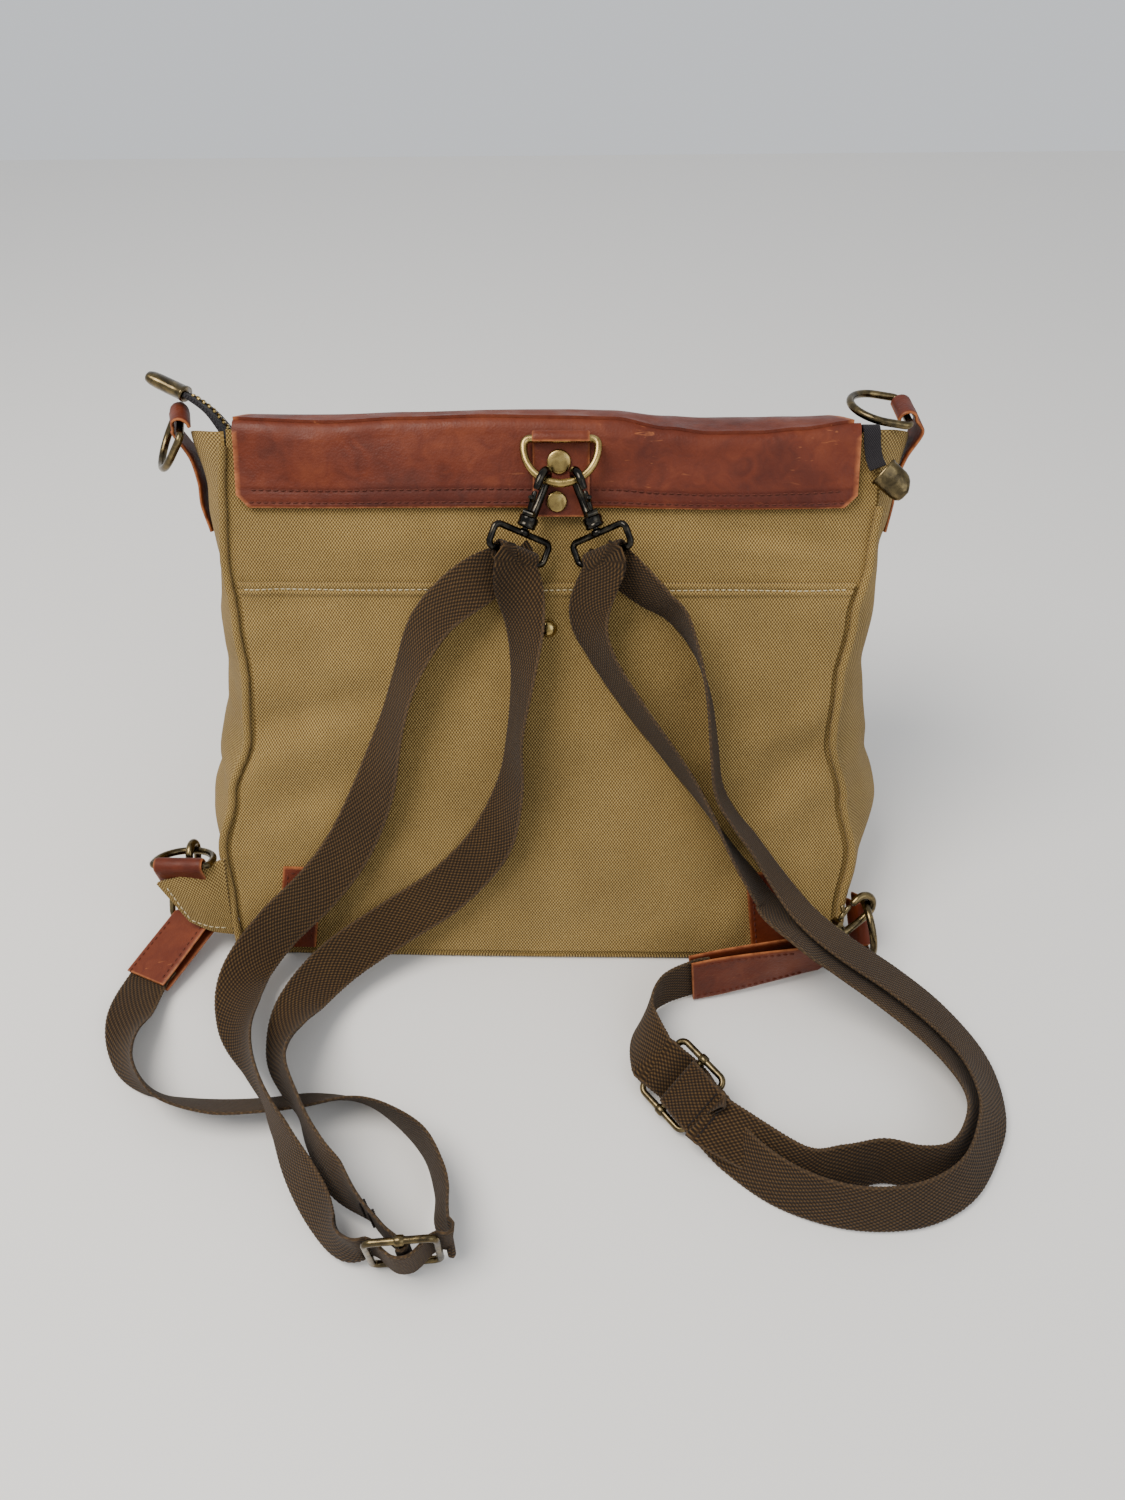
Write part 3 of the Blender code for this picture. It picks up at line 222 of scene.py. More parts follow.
def weave_material(name, pitches, colours, variation, bump, roughness=0.95, sheen=0.05, large=0.25):
    """A woven cloth: a staggered lattice of thread tops on the cloth's own flat coordinates."""
    m = Nodes(name, roughness)
    cloth = m.attribute("cloth").outputs["Vector"]
    place = m.attribute("place").outputs["Vector"]
    wobble = m.vector("SUBTRACT", m.noise(place, 90, 2, output="Color"), (0.5, 0.5, 0.5))
    flat = m.vector("ADD", cloth, m.vector("MULTIPLY", wobble, (0.0009, 0.0009, 0.0)))
    split = m.add("ShaderNodeSeparateXYZ")
    m.link(flat, split.inputs[0])
    lattice = m.math("MULTIPLY", m.wave(split.outputs[0], pitches[0]), m.wave(split.outputs[1], pitches[1]))
    lattice = m.math("MULTIPLY_ADD", lattice, 0.5)
    lattice.node.inputs[2].default_value = 0.5
    fibre = m.noise(place, 1500, 2)
    level = m.math("ADD", lattice, m.math("MULTIPLY", m.math("SUBTRACT", fibre, 0.5), variation), clamp=True)
    colour = m.ramp(level, [(0.12, colours[0]), (0.5, colours[1]), (0.9, colours[2])])
    patches = m.ramp(m.noise(place, 14, 3, 0.4), [(0.3, (1 - large,) * 3), (0.7, (1.0 + large * 0.3,) * 3)])
    m.link(m.mix(1.0, colour, patches, "MULTIPLY"), m.shader.inputs["Base Color"])
    m.shader.inputs["Sheen Weight"].default_value = sheen
    m.bump(level, 0.7, bump)
    return m.material


def webbing_material():
    m = Nodes("webbing", 0.95)
    cloth = m.attribute("cloth").outputs["Vector"]
    place = m.attribute("place").outputs["Vector"]
    split = m.add("ShaderNodeSeparateXYZ")
    m.link(cloth, split.inputs[0])
    across, along = split.outputs[0], split.outputs[1]
    twill = m.wave(m.math("MULTIPLY_ADD", along, 0.22), 0.0020)
    m.link(across, twill.node.inputs[0].links[0].from_node.inputs[0].links[0].from_node.inputs[2])
    ribs = m.wave(along, 0.0027)
    lattice = m.math("MULTIPLY_ADD", m.math("MULTIPLY", twill, ribs), 0.5)
    lattice.node.inputs[2].default_value = 0.5
    fibre = m.noise(place, 2200, 3)
    level = m.math("ADD", lattice, m.math("MULTIPLY", m.math("SUBTRACT", fibre, 0.5), 0.9), clamp=True)
    colour = m.ramp(level, [(0.1, (0.009, 0.005, 0.002)), (0.55, (0.030, 0.016, 0.006)),
                            (0.95, (0.101, 0.056, 0.019))])
    edge = m.math("GREATER_THAN", m.math("ABSOLUTE", across), 0.0114)
    colour = m.mix(m.math("MULTIPLY", edge, 0.35), colour, (0.10, 0.065, 0.036))
    patches = m.ramp(m.noise(place, 22, 3), [(0.3, (0.82, 0.80, 0.80)), (0.7, (1.12, 1.10, 1.08))])
    m.link(m.mix(1.0, colour, patches, "MULTIPLY"), m.shader.inputs["Base Color"])
    m.shader.inputs["Sheen Weight"].default_value = 0.05
    m.bump(level, 0.8, 0.0005)
    return m.material


def leather_material(name, dark, middle, light, edge_colour):
    m = Nodes(name, 0.5)
    place = m.attribute("place").outputs["Vector"]
    cloud = m.noise(place, 22, 4, 0.6)
    mottle = m.noise(place, 120, 5, 1.0)
    level = m.math("ADD", m.math("MULTIPLY", cloud, 0.62), m.math("MULTIPLY", mottle, 0.38))
    colour = m.ramp(level, [(0.33, dark), (0.5, middle), (0.68, light)])
    streak = m.vector("MULTIPLY", place, (90.0, 420.0, 420.0))
    scratch = m.ramp(m.noise(streak, 1.0, 2, 1.6), [(0.66, (0, 0, 0)), (0.74, (1, 1, 1))])
    marks = m.math("MULTIPLY", scratch, m.ramp(m.noise(place, 30, 2), [(0.52, (0, 0, 0)), (0.62, (1, 1, 1))]))
    colour = m.mix(m.math("MULTIPLY", marks, 0.55), colour, edge_colour)
    tone = m.attribute("tone").outputs["Fac"]
    colour = m.mix(tone, colour, (0.74, 0.66, 0.66), "MULTIPLY")
    rim = m.attribute("rim").outputs["Fac"]
    worn = m.math("MULTIPLY", rim, m.ramp(m.noise(place, 260, 3), [(0.3, (0.3, 0.3, 0.3)), (0.6, (1, 1, 1))]))
    m.link(m.mix(worn, colour, edge_colour), m.shader.inputs["Base Color"])
    pores = m.add("ShaderNodeTexVoronoi")
    m.link(place, pores.inputs["Vector"])
    pores.inputs["Scale"].default_value = 950
    grain = m.math("ADD", m.math("MULTIPLY", pores.outputs["Distance"], 0.6), m.noise(place, 420, 4))
    m.bump(grain, 0.35, 0.0004)
    rough = m.ramp(m.noise(place, 70, 4), [(0.3, (0.38,) * 3), (0.7, (0.62,) * 3)])
    m.link(rough, m.shader.inputs["Roughness"])
    return m.material


def metal_material(name, base, worn, dark, rough):
    m = Nodes(name, rough, 1.0)
    place = m.attribute("place").outputs["Vector"]
    patina = m.ramp(m.noise(place, 170, 5, 0.8), [(0.36, dark), (0.52, base), (0.68, worn)])
    m.link(patina, m.shader.inputs["Base Color"])
    fine = m.noise(place, 900, 3)
    m.link(m.ramp(fine, [(0.3, (rough * 0.75,) * 3), (0.75, (rough * 1.5,) * 3)]),
           m.shader.inputs["Roughness"])
    m.bump(m.noise(place, 500, 3), 0.15, 0.0003)
    return m.material


def thread_material(name, colour):
    m = Nodes(name, 0.85)
    place = m.attribute("place").outputs["Vector"]
    strands = m.noise(place, 3000, 2)
    dark = tuple(c * 0.55 for c in colour)
    m.link(m.ramp(strands, [(0.35, dark), (0.65, colour)]), m.shader.inputs["Base Color"])
    m.bump(strands, 0.5, 0.0002)
    return m.material


CANVAS = weave_material("canvas", (0.00150, 0.0020),
                        ((0.074, 0.039, 0.0094), (0.220, 0.135, 0.037), (0.454, 0.320, 0.121)), 0.50, 0.0006)
LINING = weave_material("lining", (0.0008, 0.0010),
                        ((0.05, 0.035, 0.022), (0.10, 0.075, 0.05), (0.15, 0.11, 0.08)), 0.4, 0.0002)
TAPE = weave_material("zip_tape", (0.0009, 0.0014),
                      ((0.006, 0.005, 0.006), (0.016, 0.014, 0.016), (0.035, 0.031, 0.033)), 0.5, 0.0003)
WEBBING = webbing_material()
LEATHER = leather_material("leather", (0.061, 0.010, 0.004), (0.103, 0.018, 0.006), (0.148, 0.031, 0.010),
                           (0.36, 0.12, 0.040))
BRASS = metal_material("brass", (0.36, 0.255, 0.088), (0.47, 0.35, 0.14), (0.24, 0.165, 0.060), 0.24)
GUNMETAL = metal_material("gunmetal", (0.026, 0.024, 0.021), (0.060, 0.051, 0.036), (0.014, 0.013, 0.012),
                          0.17)
ANTIQUE = metal_material("antique_brass", (0.115, 0.086, 0.042), (0.21, 0.155, 0.070),
                         (0.060, 0.046, 0.026), 0.22)
CANVAS_THREAD = thread_material("canvas_thread", (0.60, 0.50, 0.30))
LEATHER_THREAD = thread_material("leather_thread", (0.115, 0.030, 0.018))
DARK_THREAD = thread_material("dark_thread", (0.020, 0.014, 0.012))


# ---------------------------------------------------------------- mesh helpers
def finish_piece(name, verts, faces, material, body, replaces=(), cloth=None, rim=None, tone=None):
    """Makes the piece from its lists and hangs it on its body."""
    mesh = bpy.data.meshes.new(name)
    mesh.from_pydata([tuple(v) for v in verts], [], faces)
    mesh.validate()
    count = len(mesh.vertices)
    place = mesh.attributes.new("place", "FLOAT_VECTOR", "POINT")
    place.data.foreach_set("vector", np.array([tuple(v) for v in verts], np.float32).ravel())
    flat = mesh.attributes.new("cloth", "FLOAT_VECTOR", "POINT")
    source = cloth if cloth is not None else [tuple(v) for v in verts]
    flat.data.foreach_set("vector", np.array(source, np.float32).ravel())
    for label, values in (("rim", rim), ("tone", tone)):
        layer = mesh.attributes.new(label, "FLOAT", "POINT")
        layer.data.foreach_set("value", np.array(values if values is not None else [0.0] * count, np.float32))
    mesh.materials.append(material)
    mesh.shade_smooth()
    mesh.set_sharp_from_angle(angle=math.radians(50))
    piece = bpy.data.objects.new(name, mesh)
    bpy.context.scene.collection.objects.link(piece)
    if body:
        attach(piece, body)
    if replaces:
        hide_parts(*replaces)
    return piece


class Builder:
    """Collects several closed shapes into one piece."""

    def __init__(self):
        self.verts, self.faces, self.cloth, self.rim, self.tone = [], [], [], [], []

    def add(self, verts, faces, cloth=None, rim=None, tone=None):
        start = len(self.verts)
        self.verts += [Vector(v) for v in verts]
        self.faces += [tuple(start + i for i in face) for face in faces]
        self.cloth += list(cloth) if cloth is not None else [tuple(v) for v in verts]
        self.rim += list(rim) if rim is not None else [0.0] * len(verts)
        self.tone += list(tone) if tone is not None else [0.0] * len(verts)

    def piece(self, name, material, body, slot, replaces=()):
        return finish_piece(name, self.verts, self.faces, material, body, replaces, self.cloth,
                            self.rim,
                            self.tone)


def smooth_path(points, samples):
    pts = [Vector(p) for p in points]
    pts = [2 * pts[0] - pts[1]] + pts + [2 * pts[-1] - pts[-2]]
    result = []
    for i in range(1, len(pts) - 2):
        a, b, c, d = pts[i - 1], pts[i], pts[i + 1], pts[i + 2]
        for k in range(samples):
            t = k / samples
            result.append(0.5 * ((2 * b) + (c - a) * t + (2 * a - 5 * b + 4 * c - d) * t * t
                                 + (3 * b - a - 3 * c + d) * t ** 3))
    result.append(pts[-2])
    return result


def tube(builder, points, radius, closed=False, sides=14):
    """A round wire along the points. radius may be one number or one for each point."""
    points = [Vector(p) for p in points]
    count = len(points)
    radii = radius if hasattr(radius, "__len__") else [radius] * count
    tangents = []
    for i in range(count):
        if closed:
            tangents.append((points[(i + 1) % count] - points[i - 1]).normalized())
        else:
            tangents.append((points[min(i + 1, count - 1)] - points[max(i - 1, 0)]).normalized())
    side = tangents[0].orthogonal().normalized()
    sides_list = [side]
    for i in range(1, count):
        turn = tangents[i - 1].rotation_difference(tangents[i])
        side = turn @ sides_list[-1]
        side = (side - tangents[i] * side.dot(tangents[i])).normalized()
        sides_list.append(side)
    twist = 0.0
    if closed:
        last = tangents[-1].rotation_difference(tangents[0]) @ sides_list[-1]
        twist = math.atan2(last.cross(sides_list[0]).dot(tangents[0]), last.dot(sides_list[0]))
    verts, faces, cloth = [], [], []
    length = 0.0
    for i in range(count):
        if i:
            length += (points[i] - points[i - 1]).length
        a = sides_list[i]
        b = tangents[i].cross(a)
        shift = twist * i / count
        for k in range(sides):
            angle = 2 * math.pi * k / sides + shift
            verts.append(points[i] + (a * math.cos(angle) + b * math.sin(angle)) * radii[i])
            cloth.append((radii[i] * (2 * math.pi * k / sides), length, 0))
    rings = count if closed else count - 1
    for i in range(rings):
        j = (i + 1) % count
        for k in range(sides):
            n = (k + 1) % sides
            faces.append((i * sides + k, i * sides + n, j * sides + n, j * sides + k))
    if not closed:
        faces.append(tuple(reversed(range(sides))))
        faces.append(tuple((count - 1) * sides + k for k in range(sides)))
    builder.add(verts, faces, cloth)


def turned(builder, profile, matrix, steps=28):
    """A turned shape: (radius, height) points from the axis at the foot to the axis at the top."""
    verts, faces = [], []
    inner = [p for p in profile if p[0] > 1e-7]
    foot, top = profile[0][0] <= 1e-7, profile[-1][0] <= 1e-7
    for r, z in inner:
        for k in range(steps):
            angle = 2 * math.pi * k / steps
            verts.append(matrix @ Vector((r * math.cos(angle), r * math.sin(angle), z)))
    for i in range(len(inner) - 1):
        for k in range(steps):
            n = (k + 1) % steps
            faces.append((i * steps + k, i * steps + n, (i + 1) * steps + n, (i + 1) * steps + k))
    if foot:
        faces.append(tuple(reversed(range(steps))))
    else:
        start = 0
        end = (len(inner) - 1) * steps
        for k in range(steps):
            n = (k + 1) % steps
            faces.append((start + n, start + k, end + k, end + n))
    if foot and top:
        faces.append(tuple((len(inner) - 1) * steps + k for k in range(steps)))
    builder.add(verts, faces)


def resample(path, across, breadth, step):
    """The same line with points an equal step apart."""
    travelled = [0.0]
    for a, b in zip(path, path[1:]):
        travelled.append(travelled[-1] + (b - a).length)
    count = max(2, int(travelled[-1] / step) + 1)
    result = []
    i = 0
    for k in range(count):
        distance = travelled[-1] * k / (count - 1)
        while i < len(path) - 2 and travelled[i + 1] < distance:
            i += 1
        f = (distance - travelled[i]) / max(travelled[i + 1] - travelled[i], 1e-9)
        result.append((path[i].lerp(path[i + 1], f), across[i].lerp(across[i + 1], f),
                       breadth[i] + (breadth[i + 1] - breadth[i]) * f, distance))
    return result


def band(builder, points, widths, thickness, width, step=1.0 * MM, columns=10, ragged=0.0, rim=0.9 * MM):
    """A flat strap along smooth points, with softened edges. widths are its width directions, and width is
    one number or one for each point. ragged is how far its edge threads stand out."""
    if isinstance(widths, Vector):
        widths = [widths] * len(points)
    breadths = width if hasattr(width, "__len__") else [width] * len(points)
    line = resample(smooth_path(points, 10), smooth_path(widths, 10),
                    [v.x for v in smooth_path([(w, 0, 0) for w in breadths], 10)], step)
    count = len(line)
    places = [-0.5, -0.475] + spread(-0.445, 0.445, columns) + [0.475, 0.5]
    shares = [0.35, 0.8] + [1.0] * columns + [0.8, 0.35]
    order = list(zip(places, shares, [1] * len(places)))
    order += [(u, share, -1) for u, share, _ in reversed(order)]
    verts, faces, cloth, rims = [], [], [], []
    ring = len(order)
    for i, (centre, direction, breadth, distance) in enumerate(line):
        tangent = (line[min(i + 1, count - 1)][0] - line[max(i - 1, 0)][0]).normalized()
        side = direction - tangent * direction.dot(tangent)
        side.normalize()
        normal = tangent.cross(side)
        near_end = min(distance, line[-1][3] - distance)
        rough = ragged * (math.sin(distance / (1.9 * MM) * 2 * math.pi)
                          + 0.7 * noise.noise(Vector((distance / MM * 0.9, 5, 1)))) if ragged else 0.0
        for u, share, sign in order:
            wide = breadth + (2 * rough if share < 1 else 0.0)
            verts.append(centre + side * (u * wide) + normal * (sign * thickness / 2 * share))
            cloth.append((u * breadth, distance, 0))
            rims.append(max(0.0, 1 - min((0.5 - abs(u)) * breadth, near_end) / rim))
    for i in range(count - 1):
        for k in range(ring):
            n = (k + 1) % ring
            faces.append((i * ring + n, i * ring + k, (i + 1) * ring + k, (i + 1) * ring + n))
    faces.append(tuple(range(ring)))
    faces.append(tuple(reversed([(count - 1) * ring + k for k in range(ring)])))
    builder.add(verts, faces, cloth, rims)


def spread(a, b, count):
    return [a + (b - a) * k / (count - 1) for k in range(count)]


def surface(builder, rows, thickness, inward, cloth, rim=None, tone=None, closed=False):
    """A sheet of the given thickness through rows of points. inward(i, k) gives the unit direction to its
    inner face."""
    high, wide = len(rows), len(rows[0])
    outer = [p for row in rows for p in row]
    inner = [rows[i][k] + inward(i, k) * thickness for i in range(high) for k in range(wide)]
    flat = [c for row in cloth for c in row]
    rims = [r for row in rim for r in row] if rim else [0.0] * len(outer)
    tones = [t for row in tone for t in row] if tone else [0.0] * len(outer)
    faces = []
    offset = high * wide
    last = wide if closed else wide - 1
    for i in range(high - 1):
        for k in range(last):
            n = (k + 1) % wide
            a, b, c, d = i * wide + k, i * wide + n, (i + 1) * wide + n, (i + 1) * wide + k
            faces.append((a, b, c, d))
            faces.append((offset + d, offset + c, offset + b, offset + a))
    for k in range(last):
        n = (k + 1) % wide
        faces.append((n, k, offset + k, offset + n))
        a, b = (high - 1) * wide + k, (high - 1) * wide + n
        faces.append((a, b, offset + b, offset + a))
    if not closed:
        for i in range(high - 1):
            a, b = i * wide, (i + 1) * wide
            faces.append((a, b, offset + b, offset + a))
            a, b = a + wide - 1, b + wide - 1
            faces.append((b, a, offset + a, offset + b))
    builder.add(outer + inner, faces, flat + flat, rims + rims, tones + tones)


def stitches(builder, path, normals, pitch=3.4 * MM, length=2.3 * MM, radius=0.33 * MM, lift=0.1 * MM,
             slant=0.0):
    """A row of stitches along a path. normals holds the surface's normal at each point."""
    path = [Vector(p) for p in path]
    travelled = [0.0]
    for a, b in zip(path, path[1:]):
        travelled.append(travelled[-1] + (b - a).length)
    total = travelled[-1]

    def at(distance):
        i = int(np.searchsorted(travelled, distance, side="right")) - 1
        i = max(0, min(i, len(path) - 2))
        span = max(travelled[i + 1] - travelled[i], 1e-9)
        f = (distance - travelled[i]) / span
        return path[i].lerp(path[i + 1], f), normals[i].lerp(normals[i + 1], f).normalized()

    distance = pitch * 0.4
    while distance + length < total:
        a, na = at(distance)
        b, nb = at(distance + length)
        side = (b - a).cross(na).normalized()
        middle = (a + b) / 2 + na * (lift + radius * 0.55)
        start = a + na * (lift - radius) + side * slant
        end = b + nb * (lift - radius) - side * slant
        tube(builder, smooth_path([start, a.lerp(middle, 0.6) + na * radius * 0.3, middle,
                                   b.lerp(middle, 0.6) + nb * radius * 0.3, end], 1),
             [radius * 0.7, radius, radius * 1.08, radius, radius * 0.7], sides=6)
        distance += pitch


# ---------------------------------------------------------------- the bag's surface, with its folds
def along(values, t):
    position = min(max(t, 0.0), 1.0) * (len(values) - 1)
    i = min(int(position), len(values) - 2)
    f = position - i
    eased = f * f * (3 - 2 * f)
    return (values[i] * (1 - eased) + values[i + 1] * eased) * MM


def back_line(t):
    return Vector((0, -65 * MM, 0)) + UP_PANEL * (t * PANEL_HEIGHT)


def front_line(t):
    top = back_line(1.0) + ACROSS_MOUTH * MOUTH_DEPTH
    foot = Vector((0, 72 * MM, 0))
    return foot.lerp(top, t) + Vector((0, FRONT_BULGE * math.sin(math.pi * max(t, 0.0) ** 0.7), 0))


def back_bulge(x, t):
    return BACK_BULGE * math.sin(math.pi * min(1.0, 0.12 + 0.88 * t)) * max(0.0, 1 - (x / (150 * MM)) ** 2)


def plain_back(x, height, out=0.0):
    """Point over the back panel before its folds."""
    t = height / PANEL_HEIGHT
    point = back_line(t) + OUT_PANEL * (back_bulge(x, t) + out)
    return Vector((x, point.y, point.z))


# Soft folds of the back, as (across, up, direction in degrees, half length, half width, height) in mm
FOLDS = (
    (-128, 132, 14, 40, 9, -2.2), (-132, 112, 20, 46, 12, 2.6), (-118, 92, 24, 40, 9, -1.4),
    (-140, 196, -58, 22, 5, 1.3), (-128, 190, -62, 20, 5, -1.0), (-146, 168, 80, 26, 7, 1.1),
    (128, 130, 22, 44, 9, 1.9), (134, 112, 30, 40, 8, -1.8), (128, 90, 36, 34, 10, 1.7),
    (141, 172, -72, 26, 6, 1.4), (122, 214, -8, 34, 5, 1.2), (112, 222, -6, 40, 4, -1.0),
    (-60, 218, 5, 60, 6, 0.7), (40, 60, 8, 80, 22, 1.6), (-60, 52, -12, 60, 20, 1.2),
    (105, 36, 70, 34, 8, 1.2), (-100, 30, -64, 30, 9, 1.0), (90, 160, 58, 44, 10, -0.9),
)


def fold(x, height):
    """How far the back stands out of its plain shape, in metres."""
    px, ph = x / MM, height / MM
    total = 0.0
    for cx, ch, turn, long, wide, size in FOLDS:
        a, b = math.cos(math.radians(turn)), math.sin(math.radians(turn))
        u = ((px - cx) * a + (ph - ch) * b) / long
        v = (-(px - cx) * b + (ph - ch) * a) / wide
        if abs(u) < 2.6 and abs(v) < 2.6:
            total += 1.5 * size * math.exp(-u * u - v * v)
    total += 1.1 * noise.noise(Vector((px / 46, ph / 34, 3.7))) + 0.45 * noise.noise(Vector((px / 17,
                                                                                             ph / 15, 9.1)))
    rim = min(1.0, max(0.0, (px + along(SEAM_LEFT, height / PANEL_HEIGHT) / MM) / 9))
    rim *= min(1.0, max(0.0, (along(SEAM_RIGHT, height / PANEL_HEIGHT) / MM - px) / 9))
    rim *= min(1.0, max(0.0, ph / 12))
    return total * rim * MM


CREST = ((-160, 1.0), (-101, -1.0), (-67, 0.6), (-27, 1.6), (10, 1.0), (34, 0.4), (60, -4.2), (80, -6.4),
         (103, -6.2), (122, -4.6), (150, -1.2), (170, 0.0))


def crest(x):
    """The rise or dip of the top edge at x."""
    px = x / MM
    for (x0, a), (x1, b) in zip(CREST, CREST[1:]):
        if px <= x1:
            f = min(1.0, max(0.0, (px - x0) / (x1 - x0)))
            f = f * f * (3 - 2 * f)
            return (a * (1 - f) + b * f) * MM
    return 0.0


def lift(x, height):
    """Shift up the panel that carries the crest's wave down into the cloth below it."""
    f = min(1.0, max(0.0, (height / MM - 226) / 44))
    return crest(x) * f * f * (3 - 2 * f)


def on_back(x, height, out=0.0):
    point = plain_back(x, height, out + fold(x, height))
    return point + UP_PANEL * lift(x, height)


def section(t, inset):
    start, end = back_line(t), front_line(t)
    depth = (end - start).length
    direction = (end - start).normalized()
    left, right = along(SEAM_LEFT, t), along(SEAM_RIGHT, t)
    out = along(GUSSET_OUT, t)

    def point(x, s):
        p = start + direction * s
        return Vector((x, p.y, p.z))

    def gusset(side, fraction):
        seam = left if side < 0 else right
        s = inset + (depth - 2 * inset) * fraction
        v = s / depth
        x = seam * (1 - v) + FRONT_HALF * v + out * math.sin(math.pi * v)
        return point(side * (x - inset), s)

    return point, gusset, depth, left, right


LOWEST = 3.0 * MM / (PANEL_HEIGHT * math.cos(LEAN))


def build_back_panel():
    heights = spread(LOWEST * PANEL_HEIGHT, PANEL_HEIGHT, 84)
    rows, cloth = [], []
    for height in heights:
        t = height / PANEL_HEIGHT
        xs = spread(-along(SEAM_LEFT, t), along(SEAM_RIGHT, t), 96)
        rows.append([on_back(x, height) for x in xs])
        cloth.append([(x, height, 0) for x in xs])
    b = Builder()
    surface(b, rows, 1.6 * MM, lambda i, k: -OUT_PANEL, cloth)
    return b.piece("back_panel", CANVAS, "bag", "canvas", ["back_panel"])


POCKET_FOOT = 6 * MM


def pocket_limits(height):
    t = height / PANEL_HEIGHT
    return -along(SEAM_LEFT, t) + 3.2 * MM, along(SEAM_RIGHT, t) - 3.2 * MM


def build_back_pocket():
    """The slip pocket, with its folded hem and the hem's stitching."""
    heights = spread(POCKET_FOOT, POCKET_TOP - 9 * MM, 70) + spread(POCKET_TOP - 8.2 * MM, POCKET_TOP, 16)
    rows, cloth = [], []
    for height in heights:
        low, high = pocket_limits(height)
        xs = spread(low, high, 100)
        row = []
        for x in xs:
            edge = (POCKET_TOP - height) / MM
            out = 0.5 + 1.6
            if edge < 7:
                out += 1.1 * min(1.0, (7 - edge) / 1.6)
                out -= 0.8 * math.exp(-((edge - 3.4) / 0.8) ** 2)
                out += 0.3 * noise.noise(Vector((x / MM / 4, edge / 4, 2)))
            out -= 1.0 * max(0.0, 1 - edge / 0.9) ** 2
            row.append(on_back(x, height, out * MM))
        rows.append(row)
        cloth.append([(x, height, 0) for x in xs])
    b = Builder()
    surface(b, rows, 1.6 * MM, lambda i, k: -OUT_PANEL, cloth)
    piece = b.piece("back_pocket", CANVAS, "bag", "canvas", ["back_pocket"])
    thread = Builder()
    height = POCKET_TOP - 3.4 * MM
    low, high = pocket_limits(height)
    line = [on_back(x, height + 0.25 * MM * math.sin(x * 90), 2.55 * MM) for x in spread(low + 2 * MM,
                                                                                         high - 2 * MM, 160)]
    stitches(thread, line, [OUT_PANEL] * len(line), 3.1 * MM, 2.2 * MM, 0.34 * MM)
    thread.piece("back_pocket_stitching", CANVAS_THREAD, "bag", "canvas")
    return piece


def build_bottom():
    """The base, rising round its rim into the walls."""
    rows, cloth = [], []
    for inset, z in ((1.0 * MM, 2.9 * MM), (1.2 * MM, 1.4 * MM), (2.2 * MM, 0.25 * MM), (5 * MM, 0.0),
                     (30 * MM, 0.0), (60 * MM, 0.0)):
        row = outline(0.0, inset, 30)
        rows.append([Vector((p.x, p.y, z)) for p in row])
        cloth.append([(p.x, p.y, 0) for p in row])
    b = Builder()
    surface(b, rows, 1.5 * MM, lambda i, k: Vector((0, 0, 1)) if i > 1 else
            Vector((-rows[i][k].x, -rows[i][k].y, 0)).normalized() * 0.8 + Vector((0, 0,
                                                                                   0.6)), cloth, closed=True)
    middle = rows[-1]
    count = len(middle)
    flat = [Vector((p.x, p.y, 0.05 * MM)) for p in middle]
    raised = [Vector((p.x, p.y, 1.5 * MM)) for p in middle]
    faces = [tuple(range(count)), tuple(reversed(range(count, 2 * count)))]
    faces += [(k, k + count, (k + 1) % count + count, (k + 1) % count) for k in range(count)]
    b.add(flat + raised, faces)
    return b.piece("bottom_panel", CANVAS, "bag", "canvas", ["bottom_panel"])


def outline(t, inset, columns):
    """The bag's outline at one height: back, right gusset, front and left gusset."""
    point, gusset, depth, left, right = section(t, inset)
    row = [point(x, inset)
           + OUT_PANEL * back_bulge(x, t) for x in spread(-(left - inset), right - inset, columns)]
    row += [gusset(1, v) for v in spread(0, 1, 14)[1:-1]]
    for x in spread(FRONT_HALF - inset, -(FRONT_HALF - inset), columns):
        row.append(point(x, depth - inset) + Vector((0, FRONT_BULGE * 0.4 * (1 - (x / FRONT_HALF) ** 2), 0)))
    row += [gusset(-1, v) for v in spread(1, 0, 14)[1:-1]]
    return row


def gusset_fold(side, t, v):
    """How far a gusset stands out of its plain shape: soft creases that run in from the seam."""
    swell = math.sin(math.pi * min(1.0, max(0.0, v)))
    total = 2.2 * noise.noise(Vector((v * 3.1, t * 5.2, 4.0 + side))) + 1.0 * noise.noise(Vector((v * 7,
                                                                                                  t * 14, side)))
    for height, size, reach in ((0.30, -2.6, 0.035), (0.38, 2.2, 0.05), (0.50, -2.0, 0.03), (0.60, 1.5, 0.05),
                                (0.74, -1.8, 0.03), (0.83, 1.2, 0.04)):
        bent = t - height - 0.05 * math.sin(4 * v + side) - 0.04 * side * (v - 0.3)
        total += size * math.exp(-(bent / reach) ** 2) * (1 - 0.55 * v)
    return total * swell * min(1.0, t / 0.08) * MM


def gusset_point(side, t, v):
    _, gusset, _, _, _ = section(t, 0.0)
    point = gusset(side, v) + X_AXIS * side * gusset_fold(side, t, v)
    droop = math.sin(math.pi * v) * max(0.0, (t - 0.86) / 0.14) ** 2
    return point + UP_PANEL * (0.8 * MM * math.sin(9 * v + side)) * droop


def build_gusset(side, name):
    clear = (1.6 + 0.35) * MM
    rows, cloth = [], []
    for t in spread(LOWEST, 1.0, 90):
        _, _, depth, _, _ = section(t, 0.0)
        margin = clear / depth
        vs = spread(margin, 1 - margin, 46)
        rows.append([gusset_point(side, t, v) for v in vs])
        cloth.append([(v * depth, t * PANEL_HEIGHT, 0) for v in vs])
    b = Builder()
    surface(b, rows if side > 0 else [list(reversed(r)) for r in rows], 1.6 * MM, lambda i, k: X_AXIS * -side,
            cloth if side > 0 else [list(reversed(r)) for r in cloth])
    return b.piece(name, CANVAS, "bag", "canvas", [name])


